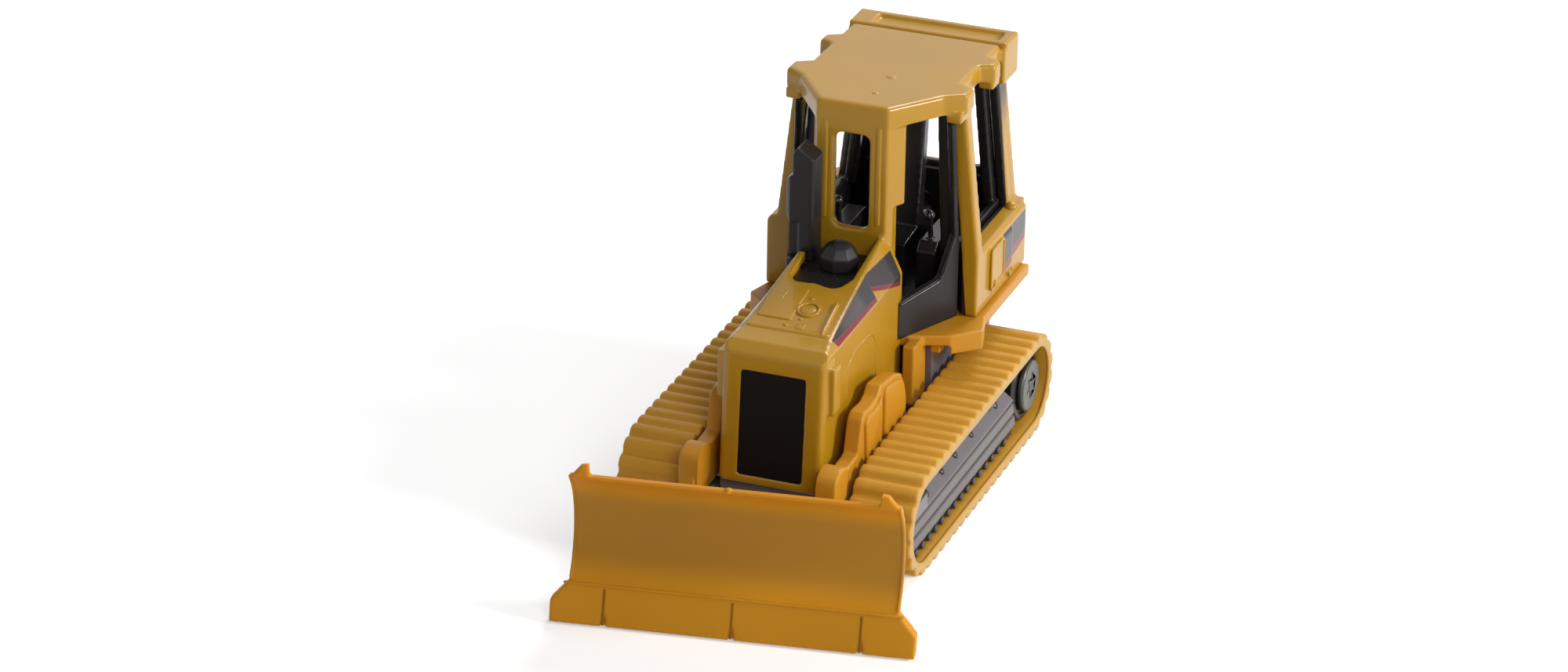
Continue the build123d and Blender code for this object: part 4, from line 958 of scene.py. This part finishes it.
def makeCamera():
    # looks along its azimuth and elevation, then turned by its roll about that direction
    az, el, roll = (math.radians(camera[k]) for k in ("azimuth", "elevation", "roll"))
    right = Vector((math.cos(az), math.sin(az), 0))
    back = Vector((math.sin(az) * math.cos(el), -math.cos(az) * math.cos(el), math.sin(el)))
    up = back.cross(right)
    x = right * math.cos(roll) + up * math.sin(roll)
    y = up * math.cos(roll) - right * math.sin(roll)
    data = bpy.data.cameras.new("camera")
    data.lens = camera["lens"]
    data.sensor_width = camera["sensor"]
    data.clip_start = camera["clipStart"]
    viewer = bpy.data.objects.new("camera", data)
    scene.collection.objects.link(viewer)
    turn = Matrix((x, y, back)).transposed().to_4x4()
    viewer.matrix_world = Matrix.Translation(place(camera["place"])) @ turn
    scene.camera = viewer


makeCamera()

# Metres and watts: each lamp's name, place, size and power
studio = {"floorSize": 3.0, "floorColor": (0.86, 0.86, 0.86), "floorGlow": 0.35, "worldLevel": 0.22,
          "aim": (0, 0, 0.018),
          "lamps": [("keyLamp", (0.42, 0.04, 0.22), 0.13, 1.6), ("topLamp", (0.05, 0.36, 0.42), 0.24, 1.6),
                    ("frontLamp", (0.26, -0.38, 0.30), 0.24, 0.85)]}


def seenRay(tree):
    # 1 for rays that the camera, a reflection or glass sends, 0 for light on the object
    path = addNode(tree, "ShaderNodeLightPath")
    seen = addNode(tree, "ShaderNodeMath", operation="MAXIMUM")
    glossy = addNode(tree, "ShaderNodeMath", operation="MAXIMUM")
    tree.links.new(path.outputs["Is Glossy Ray"], glossy.inputs[0])
    tree.links.new(path.outputs["Is Transmission Ray"], glossy.inputs[1])
    tree.links.new(path.outputs["Is Camera Ray"], seen.inputs[0])
    tree.links.new(glossy.outputs[0], seen.inputs[1])
    return seen.outputs[0]


def makeFloor():
    # pale floor that glows a little to the camera, so it stays white but keeps the shadow
    half = studio["floorSize"] / 2
    mesh = bpy.data.meshes.new("floor")
    mesh.from_pydata([(-half, -half, 0), (half, -half, 0), (half, half, 0), (-half, half, 0)], [], [(0, 1, 2, 3)])
    floor = bpy.data.objects.new("floor", mesh)
    scene.collection.objects.link(floor)
    material = bpy.data.materials.new("paleFloor")
    material.use_nodes = True
    shader = material.node_tree.nodes["Principled BSDF"]
    shader.inputs["Base Color"].default_value = (*studio["floorColor"], 1)
    shader.inputs["Roughness"].default_value = 0.9
    shader.inputs["Specular IOR Level"].default_value = 0.1
    seen = seenRay(material.node_tree)
    glow = addNode(material.node_tree, "ShaderNodeMapRange", {"To Min": 0.0, "To Max": studio["floorGlow"]})
    material.node_tree.links.new(seen, glow.inputs["Value"])
    material.node_tree.links.new(glow.outputs[0], shader.inputs["Emission Strength"])
    shader.inputs["Emission Color"].default_value = (1, 1, 1, 1)
    mesh.materials.append(material)


def makeWorld():
    # white to the camera, in reflections and through glass; a lower level as a light
    world = bpy.data.worlds.new("studio")
    scene.world = world
    world.use_nodes = True
    tree = world.node_tree
    background = tree.nodes["Background"]
    level = addNode(tree, "ShaderNodeMapRange", {"To Min": studio["worldLevel"], "To Max": 1.0})
    tree.links.new(seenRay(tree), level.inputs["Value"])
    tree.links.new(level.outputs[0], background.inputs["Strength"])
    background.inputs["Color"].default_value = (1, 1, 1, 1)


def makeLamps():
    for name, spot, size, watts in studio["lamps"]:
        data = bpy.data.lights.new(name, "AREA")
        data.shape = "DISK"
        data.size = size
        data.energy = watts
        lamp = bpy.data.objects.new(name, data)
        scene.collection.objects.link(lamp)
        aim = Vector(studio["aim"]) - Vector(spot)
        lamp.matrix_world = Matrix.Translation(spot) @ aim.to_track_quat("-Z", "Y").to_matrix().to_4x4()


makeFloor()
makeWorld()
makeLamps()
scene.view_settings.view_transform = "Standard"
print("camera, floor and lamps made")
